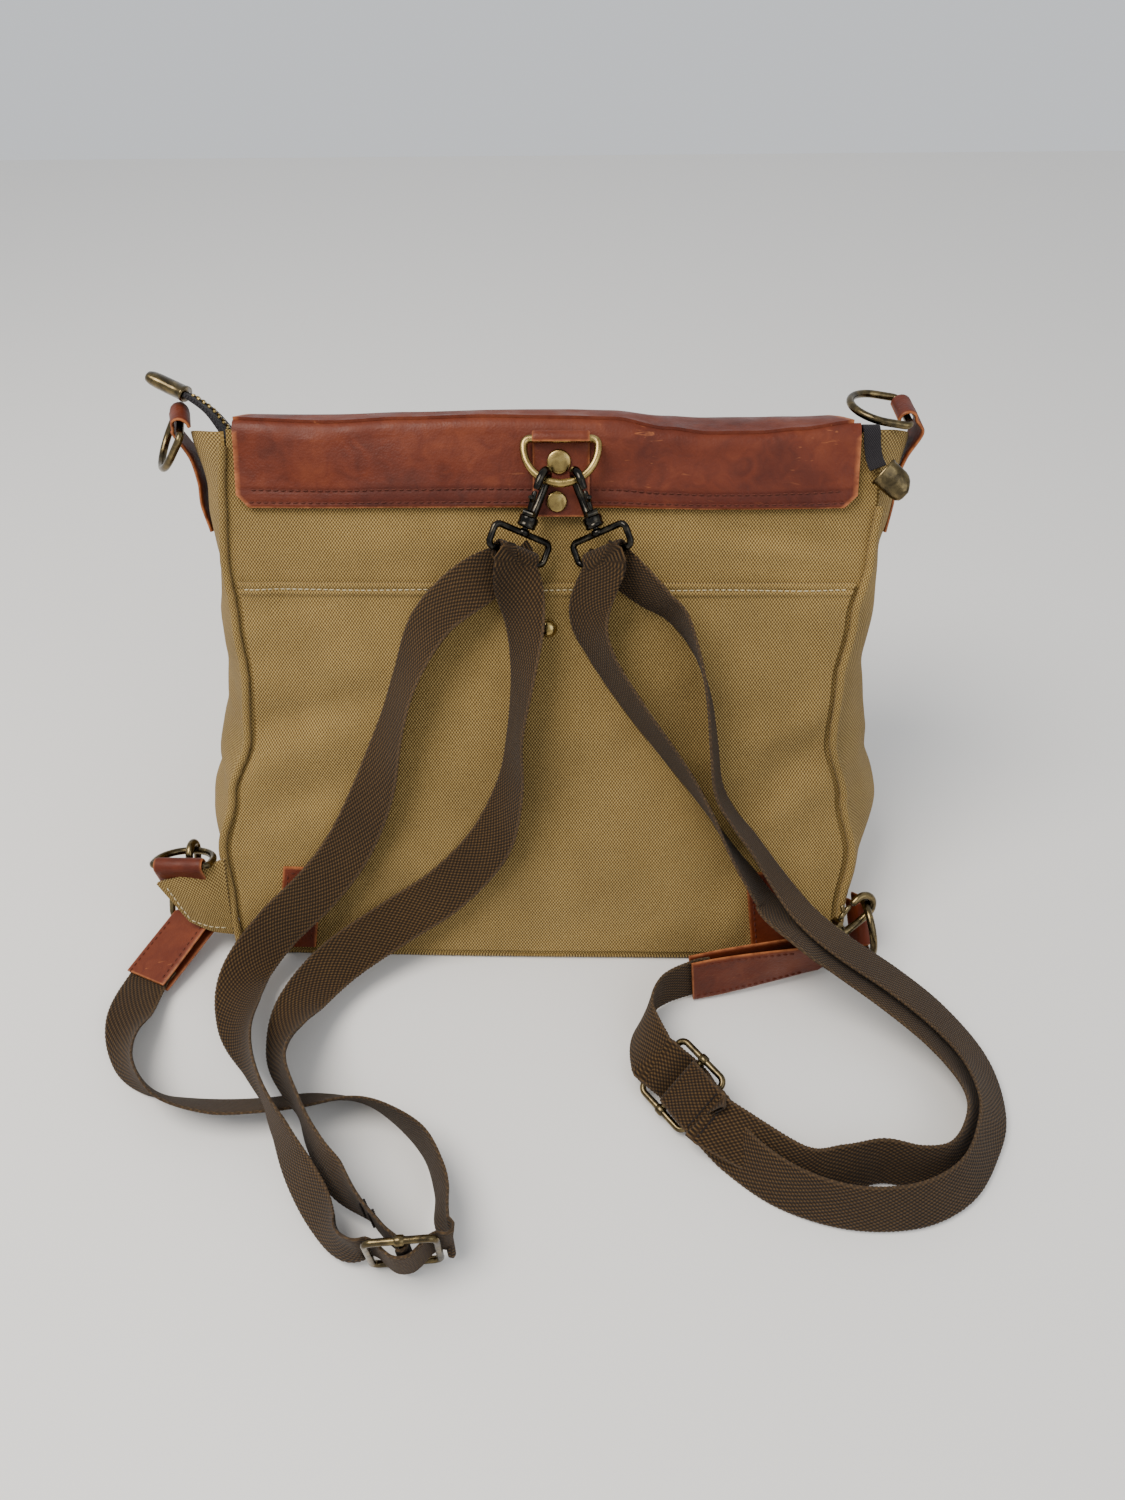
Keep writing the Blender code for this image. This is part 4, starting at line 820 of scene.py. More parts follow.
def build_front_panel():
    rows, cloth = [], []
    for t in spread(LOWEST, 1.0, 60):
        point, _, depth, _, _ = section(t, 0.0)
        xs = spread(FRONT_HALF, -FRONT_HALF, 70)
        row = []
        for x in xs:
            swell = FRONT_BULGE * 0.4 * (1 - (x / FRONT_HALF) ** 2)
            crease = 1.2 * MM * noise.noise(Vector((x * 22, t * 6, 1.0))) * (1 - (x / FRONT_HALF) ** 2)
            row.append(point(x, depth) + Vector((0, swell + crease - 0.6 * MM, 0)))
        rows.append(row)
        cloth.append([(x, t * PANEL_HEIGHT, 0) for x in xs])
    b = Builder()
    surface(b, rows, 1.6 * MM, lambda i, k: Vector((0, -1, 0)), cloth)
    return b.piece("front_panel", CANVAS, "bag", "canvas", ["front_panel"])


def build_lining():
    first = 5.1 * MM / (PANEL_HEIGHT * math.cos(LEAN))
    rows, cloth = [], []
    for t in spread(first, 0.985, 34):
        row = outline(t, 4.2 * MM, 36)
        if t == first:
            row = [Vector((p.x, p.y, 5.1 * MM)) for p in row]
        rows.append(row)
        cloth.append([(p.x + p.y, t * PANEL_HEIGHT, 0) for p in row])
    centre = sum(rows[0], Vector()) / len(rows[0])

    def inward(i, k):
        away = centre - rows[i][k]
        return Vector((away.x, away.y, 0)).normalized()

    b = Builder()
    surface(b, rows, 0.8 * MM, inward, cloth, closed=True)
    foot = [Vector((p.x, p.y, p.z)) for p in rows[0]]
    count = len(foot)
    raised = [p + Vector((0, 0, 0.8 * MM)) for p in foot]
    faces = [tuple(reversed(range(count))), tuple(range(count, 2 * count))]
    faces += [(k, (k + 1) % count, (k + 1) % count + count, k + count) for k in range(count)]
    b.add(foot + raised, faces)
    return b.piece("lining", LINING, "bag", "lining", ["lining"])


def build_board():
    ring = outline(0.0, 5 * MM, 20)
    count = len(ring)
    low = [Vector((p.x, p.y, 1.95 * MM)) for p in ring]
    high = [Vector((p.x, p.y, 3.95 * MM)) for p in ring]
    faces = [tuple(reversed(range(count))), tuple(range(count, 2 * count))]
    faces += [(k, (k + 1) % count, (k + 1) % count + count, k + count) for k in range(count)]
    b = Builder()
    b.add(low + high, faces)
    return b.piece("base_board", DARK_THREAD, "bag", "board", ["base_board"])


def build_welts():
    """Piping over each back seam, puckered by its stitching."""
    for side, name, seam, top in ((-1, "seam_welt_left", SEAM_LEFT, 0.975),
                                  (1, "seam_welt_right", SEAM_RIGHT, 0.87)):
        points, radii = [], []
        for t in spread(0.018, top, 150):
            x = side * (along(seam, t) + 1.6 * MM)
            line = back_line(t) + OUT_PANEL * (1.7 * MM)
            wobble = 0.35 * MM * noise.noise(Vector((t * 60, side, 0)))
            points.append(Vector((x + wobble, line.y, line.z)))
            radii.append((2.15 + 0.22 * noise.noise(Vector((t * 120, 4, side)))) * MM)
        b = Builder()
        tube(b, points, radii, sides=12)
        b.piece(name, CANVAS, "bag", "canvas", [name])


# ---------------------------------------------------------------- leather on the back
STRIP_LEFT, STRIP_RIGHT = -148 * MM, 151 * MM


def build_strip():
    """The flap's leather where it comes over the top and is sewn down on the back."""
    corner = 6 * MM
    rows, cloth, rims, tones = [], [], [], []
    heights = spread(STRIP_FOOT, STRIP_FOOT + corner, 8) + spread(STRIP_FOOT + corner, 269 * MM, 26)[1:]
    for height in heights:
        cut = max(0.0, STRIP_FOOT + corner - height)
        xs = spread(STRIP_LEFT + cut, STRIP_RIGHT - cut, 110)
        row, rim, tone = [], [], []
        for x in xs:
            up = (height - STRIP_FOOT) / MM
            out = 3.9 - 0.7 * max(0.0, 1 - up / 1.2) ** 2
            out -= 0.28 * math.exp(-((up - 2.6) / 0.8) ** 2) + 0.28 * math.exp(-((up - 8.4) / 0.8) ** 2)
            out += 0.5 * noise.noise(Vector((x * 30, height * 60, 1.3))) * min(1.0, up / 12)
            row.append(on_back(x, height, out * MM))
            near = min(up, (x - xs[0]) / MM, (xs[-1] - x) / MM)
            rim.append(max(0.0, 1 - near / 0.9))
            tone.append(0.9 if up < 9.6 else max(0.0, 0.9 - (up - 9.6) / 1.2))
        rows.append(row)
        cloth.append([(x, height, 0) for x in xs])
        rims.append(rim)
        tones.append(tone)
    xs = spread(STRIP_LEFT, STRIP_RIGHT, 110)
    for out, height in ((3.75, 271.5), (3.2, 273.8), (2.3, 275.4), (1.1, 276.3)):
        row = []
        for x in xs:
            base = back_line(1.0) + OUT_PANEL * (out * MM) + UP_PANEL * (height * MM - PANEL_HEIGHT
                                                                         + crest(x))
            row.append(Vector((x, base.y, base.z)))
        rows.append(row)
        cloth.append([(x, height * MM, 0) for x in xs])
        rims.append([0.0] * len(xs))
        tones.append([0.0] * len(xs))
    last = len(heights)

    def inward(i, k):
        turn = max(0, i - last + 1) / 4
        return (-OUT_PANEL * (1 - turn) - UP_PANEL * turn * 1.2).normalized()

    b = Builder()
    surface(b, rows, 1.9 * MM, inward, cloth, rims, tones)
    piece = b.piece("flap_back_strip", LEATHER, "bag", "leather", ["flap_back_strip"])
    thread = Builder()
    for above in (2.6 * MM, 8.4 * MM):
        points, normals = [], []
        inner = above if above < 5 * MM else 4 * MM
        for x in spread(STRIP_LEFT + inner + 2.0 * MM, STRIP_RIGHT - inner - 2.0 * MM, 150):
            points.append(on_back(x, STRIP_FOOT + above, 3.75 * MM))
            normals.append(OUT_PANEL)
        stitches(thread, points, normals, 3.6 * MM, 2.6 * MM, 0.36 * MM, slant=0.15 * MM)
    thread.piece("flap_back_strip_stitching", LEATHER_THREAD, "bag", "leather")
    return piece


FLAP_HINGE = back_line(1.0) + OUT_PANEL * 2.2 * MM + UP_PANEL * 4.0 * MM
NECK = 11 * MM


def flap_path():
    top = FLAP_HINGE + ACROSS_MOUTH * 1.6 * MM
    points = [top]
    for across, up in ((16, 3), (36, 3), (57, 0), (70, -12)):
        points.append(top + (ACROSS_MOUTH * across + UP_PANEL * up) * MM)
    for t, out in ((0.84, 20), (0.74, 22), (0.62, 23), (0.5, 25), (0.38, 26), (0.27, 25)):
        points.append(front_line(t) + Vector((0, out * MM, 0)))
    return points


def flap_grid(path, columns):
    """Rows of the flap's outer face, with the normals and the flat coordinates."""
    count = len(path)
    rows, normals, cloth, rims, tones = [], [], [], [], []
    length = 0.0
    for k, point in enumerate(path):
        if k:
            length += (point - path[k - 1]).length
        ratio = k / (count - 1)
        tangent = (path[min(k + 1, count - 1)] - path[max(k - 1, 0)]).normalized()
        normal = X_AXIS.cross(tangent).normalized() * -1
        half = 148 * MM + 6 * MM * math.sin(math.pi * ratio)
        half -= NECK * math.sin(math.pi * min(1.0, ratio / 0.42))
        corner = max(0.0, ratio - 0.88) / 0.12
        half -= 16 * MM * (1 - math.sqrt(max(0.0, 1 - corner * corner)))
        xs = spread(-half, half, columns)
        fade = max(0.0, 1 - ratio / 0.3)
        row = []
        for x in xs:
            shift = UP_PANEL * crest(x) * fade
            sag = 1.4 * MM * noise.noise(Vector((x * 14, ratio * 4, 6.0))) * min(1.0, ratio / 0.1)
            row.append(Vector((x, point.y, point.z)) + shift + normal * sag)
        rows.append(row)
        normals.append(normal)
        cloth.append([(x, length, 0) for x in xs])
        end = (1 - ratio) * 0.215
        rims.append([max(0.0, 1 - min(end, half - abs(x)) / (1.0 * MM)) for x in xs])
        tones.append([0.0] * len(xs))
    return rows, normals, cloth, rims, tones


def build_flap():
    path = smooth_path(flap_path(), 9)
    rows, normals, cloth, rims, tones = flap_grid(path, 90)
    b = Builder()
    surface(b, rows, 1.9 * MM, lambda i, k: -normals[i], cloth, rims, tones)
    piece = b.piece("flap", LEATHER, "flap", "leather", ["flap"])
    thread = Builder()
    count = len(rows)
    for side in (0, -1):
        line, ups = [], []
        for i in range(6, count - 4):
            row = rows[i]
            inner = row[side] + X_AXIS * (4.5 * MM if side == 0 else -4.5 * MM)
            line.append(inner)
            ups.append(normals[i])
        stitches(thread, line, ups, 3.6 * MM, 2.6 * MM, 0.36 * MM)
    end = count - 4
    line = [rows[end][k] for k in range(4, 86)]
    stitches(thread, line, [normals[end]] * len(line), 3.6 * MM, 2.6 * MM, 0.36 * MM)
    thread.piece("flap_stitching", LEATHER_THREAD, "flap", "leather")
    return piece


def build_closures():
    """Two straps sewn on the flap, each through its buckle, that fasten the bag."""
    outer = flap_path()
    for side, name in ((-1, "closure_strap_left"), (1, "closure_strap_right")):
        line = [Vector((side * 88 * MM, p.y + 2.9 * MM, p.z)) for p in outer[6:]]
        tip = line[-1] + Vector((0, -9 * MM, -34 * MM))
        b = Builder()
        band(b, line + [tip], X_AXIS, 2.0 * MM, [20 * MM] * len(line) + [13 * MM], step=1.5 * MM)
        b.piece(name, LEATHER, "flap", "leather", [name])
        middle = smooth_path(line, 2)
        slope = (middle[-5] - middle[-3]).normalized()
        out = X_AXIS.cross(slope).normalized()
        if out.y < 0:
            out = -out
        spot = frame_at(middle[-4] + out * 2.6 * MM, X_AXIS, slope)
        b = Builder()
        rounded_frame(b, spot, 14.5, 11.5, 3.0, 1.5, "xz")
        tube(b, [spot @ Vector((0, y * MM, z * MM)) for y,
                 z in ((0, -11.5), (1.2, -8), (1.6, 0), (1.4, 8), (0.4, 12.6))],
             [1.5 * MM, 1.1 * MM, 1.1 * MM, 1.0 * MM, 0.8 * MM])
        b.piece(name.replace("strap", "buckle"), BRASS, "flap", "brass", [name.replace("strap", "buckle")])


def build_patches():
    """Leather reinforcements at the foot of the back pocket."""
    for side, name in ((-1, "lower_patch_left"), (1, "lower_patch_right")):
        centre = (-129 if side < 0 else 117) * MM
        rows, cloth, rims = [], [], []
        heights = spread(7 * MM, 52 * MM, 30)
        for height in heights:
            middle = centre - side * (height - 30 * MM) * 0.12
            xs = spread(middle - 10 * MM, middle + 10 * MM, 16)
            rows.append([on_back(x, height, 4.1 * MM) for x in xs])
            cloth.append([(x, height, 0) for x in xs])
            rims.append([max(0.0,
                             1 - min(x - xs[0], xs[-1] - x, heights[-1] - height) / (1.2 * MM)) for x in xs])
        b = Builder()
        surface(b, rows, 1.5 * MM, lambda i, k: -OUT_PANEL, cloth, rims)
        b.piece(name, LEATHER, "bag", "leather", [name])
        thread = Builder()
        for k in (2, 13):
            line = [rows[i][k] for i in range(2, 28)]
            stitches(thread, line, [OUT_PANEL] * len(line), 3.4 * MM, 2.4 * MM, 0.34 * MM)
        line = [rows[27][k] for k in range(2, 14)]
        stitches(thread, line, [OUT_PANEL] * len(line), 3.4 * MM, 2.4 * MM, 0.34 * MM)
        thread.piece(name + "_stitching", LEATHER_THREAD, "bag", "leather")


# ---------------------------------------------------------------- rings, rivets, hooks and sliders
def frame_at(origin, x_axis, z_axis):
    z = Vector(z_axis).normalized()
    x = Vector(x_axis) - z * Vector(x_axis).dot(z)
    x.normalize()
    matrix = Matrix((x, z.cross(x), z)).transposed().to_4x4()
    matrix.translation = Vector(origin)
    return matrix


def rounded_frame(builder, frame, half_x, half_y, corner, radius, plane="xy"):
    """A round wire bent to a rounded rectangle, in millimetres."""
    outline_points = []
    for cx, cy, start in ((half_x - corner, half_y - corner, 0), (-half_x + corner, half_y - corner, 90),
                          (-half_x + corner, -half_y + corner, 180), (half_x - corner, -half_y + corner,
                                                                      270)):
        for k in range(9):
            angle = math.radians(start + 90 * k / 8)
            outline_points.append((cx + corner * math.cos(angle), cy + corner * math.sin(angle)))
    if plane == "xy":
        points = [frame @ Vector((x * MM, y * MM, 0)) for x, y in outline_points]
    else:
        points = [frame @ Vector((x * MM, 0, y * MM)) for x, y in outline_points]
    tube(builder, points, radius * MM, closed=True, sides=16)


def d_ring(name, frame, half_bar, reach, material, body, slot):
    """A D-ring of round wire: the straight bar on the frame's X axis, the bow towards +Z."""
    corner = 3.2 * MM
    points = []
    for x in spread(-half_bar + corner, half_bar - corner, 7):
        points.append((x, 0))
    for k in range(1, 7):
        a = math.radians(-90 + 90 * k / 6)
        points.append((half_bar - corner + corner * math.cos(a), corner + corner * math.sin(a)))
    centre = max(reach - half_bar, corner + 0.5 * MM)
    for k in range(41):
        a = math.pi * k / 40
        points.append((half_bar * math.cos(a), centre + (reach - centre) * math.sin(a)))
    for k in range(6):
        a = math.radians(180 + 90 * k / 6)
        points.append((-half_bar + corner + corner * math.cos(a), corner + corner * math.sin(a)))
    b = Builder()
    tube(b, [frame @ Vector((x, 0, z)) for x, z in points], RING_WIRE, closed=True, sides=20)
    return b.piece(name, material, body, slot, [name])


def build_rivet(name, point, normal, radius):
    r = radius
    profile = [(0, -0.3 * MM), (r * 0.98, -0.3 * MM), (r, 0.2 * MM), (r * 0.985, 0.75 * MM),
               (r * 0.93, 1.15 * MM),
               (r * 0.84, 1.36 * MM), (r * 0.5, 1.46 * MM), (0, 1.5 * MM)]
    b = Builder()
    turned(b, profile, frame_at(point, X_AXIS, normal), 40)
    b.piece(name, BRASS, "bag", "brass", [name])


def build_hook(prefix, frame, eye_turn, bodies, material):
    """A swivel snap hook: body, sprung gate with its thumb piece, and swivelling eye."""
    b = Builder()
    profile = [(0, 0.1), (3.7, 0.1), (4.2, 0.3), (4.55, 0.8), (4.6, 1.5), (4.3, 2.0), (4.3, 2.4), (4.6, 2.8),
               (4.6, 5.0), (4.4, 5.6), (3.8, 6.0), (0, 6.1)]
    turned(b, [(r * MM, z * MM) for r, z in profile], frame, 28)
    path = [(3.4, 4.4), (4.6, 6.4), (5.2, 9), (5.7, 12), (6.05, 15), (6.3, 18), (6.3, 20)]
    path += [(6.3 * math.cos(math.pi * k / 18), 22 + 6.3 * math.sin(math.pi * k / 18)) for k in range(19)]
    path += [(-6.3, 20.4), (-6.3, 18.8), (-6.3, 18.0)]
    radii = [2.3, 2.25, 2.1, 1.95, 1.9, 1.9,
             1.95] + [1.95 + 0.2 * math.sin(math.pi * k / 18) for k in range(19)]
    radii += [1.85, 1.75, 1.2]
    points = [frame @ Vector((x * MM, 0, z * MM)) for x, z in path]
    tube(b, points, [r * MM for r in radii], sides=16)
    # the ear that carries the gate's pin
    turned(b, [(0, -2.6 * MM), (1.7 * MM, -2.5 * MM), (1.7 * MM, 2.5 * MM), (0, 2.6 * MM)],
           frame @ Matrix.Translation((-3.9 * MM, 0, 6.6 * MM)) @ Matrix.Rotation(math.pi / 2, 4, "X"), 18)
    b.piece(prefix + "_body", material, bodies[0], "gunmetal", [prefix + "_body"])

    g = Builder()
    gate_path = [(-4.6, 8.2), (-4.9, 9.6), (-5.2, 11), (-5.7, 13), (-6.1, 14.8), (-6.3, 16.2), (-6.3, 17.2)]
    tube(g, [frame @ Vector((x * MM, 0, z * MM)) for x, z in gate_path],
         [r * MM for r in (0.9, 1.3, 1.35, 1.35, 1.3, 1.25, 0.8)], sides=12)
    lever = [(-5.6, 12.4), (-7.0, 12.5), (-8.6, 12.9), (-9.9, 13.7), (-10.3, 14.1)]
    tube(g, [frame @ Vector((x * MM, 0, z * MM)) for x, z in lever],
         [r * MM for r in (1.0, 1.0, 1.15, 1.3, 0.7)], sides=12)
    g.piece(prefix + "_gate", material, bodies[1], "gunmetal", [prefix + "_gate"])

    turn = frame @ Matrix.Rotation(eye_turn, 4, "Z")
    e = Builder()
    stem = [(0, -3.3), (1.4, -3.3), (1.4, 6.5), (2.2, 6.7), (2.4, 7.2), (2.1, 7.8), (0, 8.0)]
    turned(e, [(r * MM, z * MM) for r, z in stem], turn, 20)
    collar = [(0, -3.6), (2.6, -3.5), (3.2, -2.6), (2.9, -1.4), (2.0, -0.5), (0, -0.4)]
    turned(e, [(r * MM, z * MM) for r, z in collar], turn, 20)
    rounded_frame(e, turn @ Matrix.Translation((0, 0, -8.1 * MM)), 15.8, 5.5, 2.8, 1.6, "xz")
    e.piece(prefix + "_eye", material, "bag", "gunmetal", [prefix + "_eye"])


def build_slider(name, frame):
    """A strap adjuster of round wire, with the centre bar's ends wrapped round its long sides."""
    b = Builder()
    rounded_frame(b, frame, 14.5, 15.6, 3.5, 1.6)
    tube(b, [frame @ Vector((0, y * MM, 0)) for y in spread(-15.4, 15.4, 9)], 1.45 * MM, sides=14)
    for sign in (-1, 1):
        sleeve = [(0, -2.1), (2.0, -2.0), (2.35, -1.5), (2.4, 0), (2.35, 1.5), (2.0, 2.0), (0, 2.1)]
        spot = frame @ Matrix.Translation((0, sign * 15.6 * MM, 0)) @ Matrix.Rotation(math.pi / 2, 4, "Y")
        turned(b, [(r * MM, z * MM) for r, z in sleeve], spot, 20)
    b.piece(name, ANTIQUE, "bag", "gunmetal", [name])


RING_TILT = math.radians(19)
CENTRE_X = 9.5 * MM
CENTRE_BAR = plain_back(CENTRE_X, 268 * MM, 8.6 * MM)


def build_centre():
    lean_out = OUT_PANEL * math.sin(RING_TILT) - UP_PANEL * math.cos(RING_TILT)
    d_ring("centre_ring", frame_at(CENTRE_BAR, X_AXIS, lean_out), 17.6 * MM, 21.5 * MM, BRASS,
           "centre_ring", "brass")
    bore = RING_WIRE + 0.35 * MM
    radius = bore + 0.9 * MM
    path = []
    for k in range(13):
        angle = math.radians(-20 + 200 * k / 12)
        path.append(CENTRE_BAR + OUT_PANEL * radius * math.cos(angle) + UP_PANEL * radius * math.sin(angle))
    for height, out in ((263.5, 5.5), (260, 5.2), (256, 5.1), (250, 5.1), (244, 5.1), (238, 5.1), (232, 5.1)):
        path.append(plain_back(CENTRE_X, height * MM, out * MM))
    b = Builder()
    band(b, path, X_AXIS, 1.7 * MM, 27 * MM, step=1.0 * MM, columns=16)
    b.piece("centre_tab", LEATHER, "bag", "leather", ["centre_tab"])
    build_rivet("centre_rivet_top", plain_back(CENTRE_X - 1 * MM, 257.5 * MM, 6.3 * MM), OUT_PANEL, 5.8 * MM)
    build_rivet("centre_rivet_bottom", plain_back(CENTRE_X - 2 * MM, 239 * MM, 6.3 * MM), OUT_PANEL, 5.0 * MM)
    snap = frame_at(on_back(3 * MM, 178 * MM, 2.2 * MM), X_AXIS, OUT_PANEL)
    dome = [(0, -0.2), (4.3, -0.2), (4.5, 0.2), (4.5, 0.6), (4.2, 0.9), (3.9, 1.1), (3.7, 1.8), (3.2, 2.5),
            (2.3, 3.1),
            (1.2, 3.4), (0, 3.5)]
    b = Builder()
    turned(b, [(r * MM, z * MM) for r, z in dome], snap, 32)
    b.piece("back_pocket_snap", BRASS, "bag", "brass", ["back_pocket_snap"])


def top_hook_frame(side):
    foot = plain_back(CENTRE_X + side * 16.5 * MM, 227.1 * MM, 16.2 * MM)
    tip = plain_back(CENTRE_X + side * 6.0 * MM, 254.4 * MM, 13.8 * MM)
    return frame_at(foot, -(OUT_PANEL + X_AXIS * side * 0.25), tip - foot)


TOP_EYE_TURN = math.radians(45)


def eye_bar(frame, turn):
    turned_frame = frame @ Matrix.Rotation(turn, 4, "Z")
    return turned_frame @ Vector((0, 0, -13.6 * MM)), turned_frame.to_3x3() @ X_AXIS


CORNERS = {
    "left": (Vector((-188.5, -50.3, 54)) * MM, X_AXIS, Vector((0, 0.914, -0.406)),
             Vector((0, 0.25, -0.97)), (11 * MM, 11 * MM)),
    "right": (Vector((168.7, -51.8, 17)) * MM, Vector((-0.16, 0.43, 0.89)), Vector((0.043, -0.896, 0.441)),
              Vector((-0.45, 0.80, -0.40)), (11 * MM, 7 * MM)),
}
BOTTOM_HOOKS = {
    "left": (Vector((-188.5, -52, 14)) * MM, Vector((0, 0.552, 0.834)), Vector((0, 0.834, -0.552)),
             Vector((0.9, -0.35, 0.1))),
    "right": (Vector((139, -74.5, 18)) * MM, Vector((0.738, 0.511, 0.444)), Vector((0.495, -0.039, -0.778)),
              Vector((-0.366, -0.253, 0.896))),
}


def bottom_hook_frame(name):
    eye, axis, away, bar = BOTTOM_HOOKS[name]
    axis = axis.normalized()
    frame = frame_at(eye + axis * 13.6 * MM, away, axis)
    flat = frame.to_3x3().transposed() @ bar
    return frame, math.atan2(flat.y, flat.x)


def gusset_middle(t, side, out):
    return gusset_point(side, t, 0.5) + X_AXIS * side * out


def plain_gusset_middle(t, side, out):
    _, gusset, _, _, _ = section(t, 0.0)
    return gusset(side, 0.5) + X_AXIS * side * out


def build_side_rings():
    for side, name in ((-1, "left"), (1, "right")):
        depth_axis = Vector((side * 0.3, 0.95, 0.0)).normalized() if side < 0 else Vector((0.0, 1.0, 0.0))
        rise = 6.5 * MM if side < 0 else 10 * MM
        top = plain_gusset_middle(1.0, side, 3.6 * MM if side < 0 else -4.0 * MM) + Z_AXIS * rise
        reach = Vector((-0.55, 0, -0.83)) if side < 0 else Vector((-0.985, 0, 0.17))
        d_ring("side_ring_" + name, frame_at(top, depth_axis, reach), 16.0 * MM, 27 * MM, ANTIQUE,
               "side_ring_" + name, "gunmetal")
        radius = RING_WIRE + 2.25 * MM
        outward = X_AXIS * side
        points, widths = [], []
        for k in range(13):
            angle = math.radians(180 * k / 12)
            points.append(top + outward * (-radius * math.cos(angle)) + Z_AXIS * radius * math.sin(angle))
            widths.append(depth_axis)
        if side < 0:
            points.append(top + outward * radius - Z_AXIS * 4 * MM)
        else:
            points.append(plain_gusset_middle(1.0, side, 4.2 * MM) + Z_AXIS * 3 * MM)
        widths.append(depth_axis)
        for t in (0.95, 0.9, 0.85, 0.8):
            points.append(gusset_middle(t, side, 2.4 * MM))
            widths.append(ACROSS_MOUTH)
        b = Builder()
        band(b, points, widths, 1.8 * MM, 20 * MM, step=1.2 * MM, columns=12, ragged=0.0)
        b.piece("side_tab_" + name, LEATHER, "bag", "leather", ["side_tab_" + name])


def build_corner_rings():
    for name in ("left", "right"):
        bar, axis, reach, tail, lengths = CORNERS[name]
        d_ring("corner_ring_" + name, frame_at(bar, axis, reach), 14.8 * MM, 21 * MM, ANTIQUE,
               "corner_ring_" + name,
               "gunmetal")
        across = axis.normalized()
        tail = tail - across * tail.dot(across)
        frame = frame_at(bar, across, -tail)
        radius = RING_WIRE + 0.7 * MM + 0.8 * MM
        points = [(-radius, -lengths[0]), (-radius, -lengths[0] * 0.5), (-radius, -1 * MM)]
        for k in range(11):
            angle = math.pi - math.pi * k / 10
            points.append((radius * math.cos(angle), radius * math.sin(angle)))
        points += [(radius, -1 * MM), (radius, -lengths[1] * 0.5), (radius, -lengths[1])]
        b = Builder()
        band(b, [frame @ Vector((0, a, z)) for a, z in points], frame.to_3x3() @ X_AXIS, 1.6 * MM, 25 * MM,
             step=0.9 * MM, columns=14)
        b.piece("corner_tab_" + name, LEATHER, "bag", "leather", ["corner_tab_" + name])


def build_ear():
    """The stitched canvas ear that carries the left lower tab, from the seam out to the tab."""
    top = (Vector((-167, -45, 53)), Vector((-184, -52, 50)), Vector((-201, -56, 46)))
    foot = (Vector((-166, -61.5, 13)), Vector((-176, -63, 17)), Vector((-187, -62.5, 24)))
    upper, lower = smooth_path(top, 10), smooth_path(foot, 10)
    rows, cloth = [], []
    for v in spread(0.0, 1.0, 22):
        row = []
        for k, (a, b) in enumerate(zip(upper, lower)):
            p = a.lerp(b, v) * MM
            puff = 2.0 * MM * math.sin(math.pi * v) * math.sin(math.pi * min(1.0, 0.15 + k / 22))
            row.append(p + Vector((0, -0.8, 0.35)) * puff)
        rows.append(row)
        cloth.append([(k * 1.6 * MM, v * 38 * MM, 0) for k in range(len(row))])
    b = Builder()
    surface(b, rows, 2.6 * MM, lambda i, k: Vector((0, 0.9, -0.3)).normalized(), cloth)
    b.piece("corner_ear_left", CANVAS, "bag", "canvas")
    thread = Builder()
    line = [rows[i][len(upper) - 3] for i in range(2, 20)]
    stitches(thread, line, [Vector((0, -0.9, 0.35)).normalized()] * len(line), 3.1 * MM, 2.2 * MM, 0.33 * MM)
    line = [rows[19][k] for k in range(2, len(upper) - 2)]
    stitches(thread, line, [Vector((0, -0.9, 0.35)).normalized()] * len(line), 3.1 * MM, 2.2 * MM, 0.33 * MM)
    thread.piece("corner_ear_left_stitching", CANVAS_THREAD, "bag", "canvas")


def build_leather_end(name, tail, hook_frame, eye_turn):
    """The folded leather at the strap's foot, sewn to the webbing."""
    centre, bar = eye_bar(hook_frame, eye_turn)
    end = Vector(tail[2][0]) * MM
    width_end = Vector(tail[2][1]).normalized()
    if bar.dot(width_end) < 0:
        bar = -bar
    heading = end - centre
    forward = (heading - bar * heading.dot(bar)).normalized()
    side = bar.cross(forward)
    radius = (1.6 + 0.35 + 0.75 + 0.5) * MM
    narrow = 0.8 * MM + 0.75 * MM + 1.0 * MM
    inner, outer, directions, ups = [], [], [], []
    for k in range(5):
        f = 0.12 + 0.88 * k / 4
        width = bar.lerp(width_end, min(1.0, 1.4 * f)).normalized()
        across = width.cross(heading).normalized()
        gap = radius + (narrow - radius) * f
        middle = centre + heading * f
        outer.append(middle + across * gap)
        inner.append(middle - across * gap)
        directions.append(width)
        ups.append(across)
    bend = [centre
            + side * radius * math.cos(math.pi * k / 12) - forward * radius * math.sin(math.pi * k / 12)
            for k in range(13)]
    points = list(reversed(outer)) + bend + inner
    widths = list(reversed(directions)) + [bar] * 13 + directions
    b = Builder()
    band(b, points, widths, 1.7 * MM, 26.5 * MM, step=0.9 * MM, columns=14)
    b.piece(name, LEATHER, "bag", "leather", [name])
    thread = Builder()
    for line_points, sign in ((outer, 1), (inner, -1)):
        for edge in (-10.6 * MM, 10.6 * MM):
            line = smooth_path([p + w * edge + u * sign * 0.75 * MM
                                for p, w, u in zip(line_points, directions, ups)], 8)
            normals = smooth_path([u * sign for u in ups], 8)
            stitches(thread, line, normals, 3.4 * MM, 2.4 * MM, 0.33 * MM)
    thread.piece(name + "_stitching", LEATHER_THREAD, "bag", "leather")


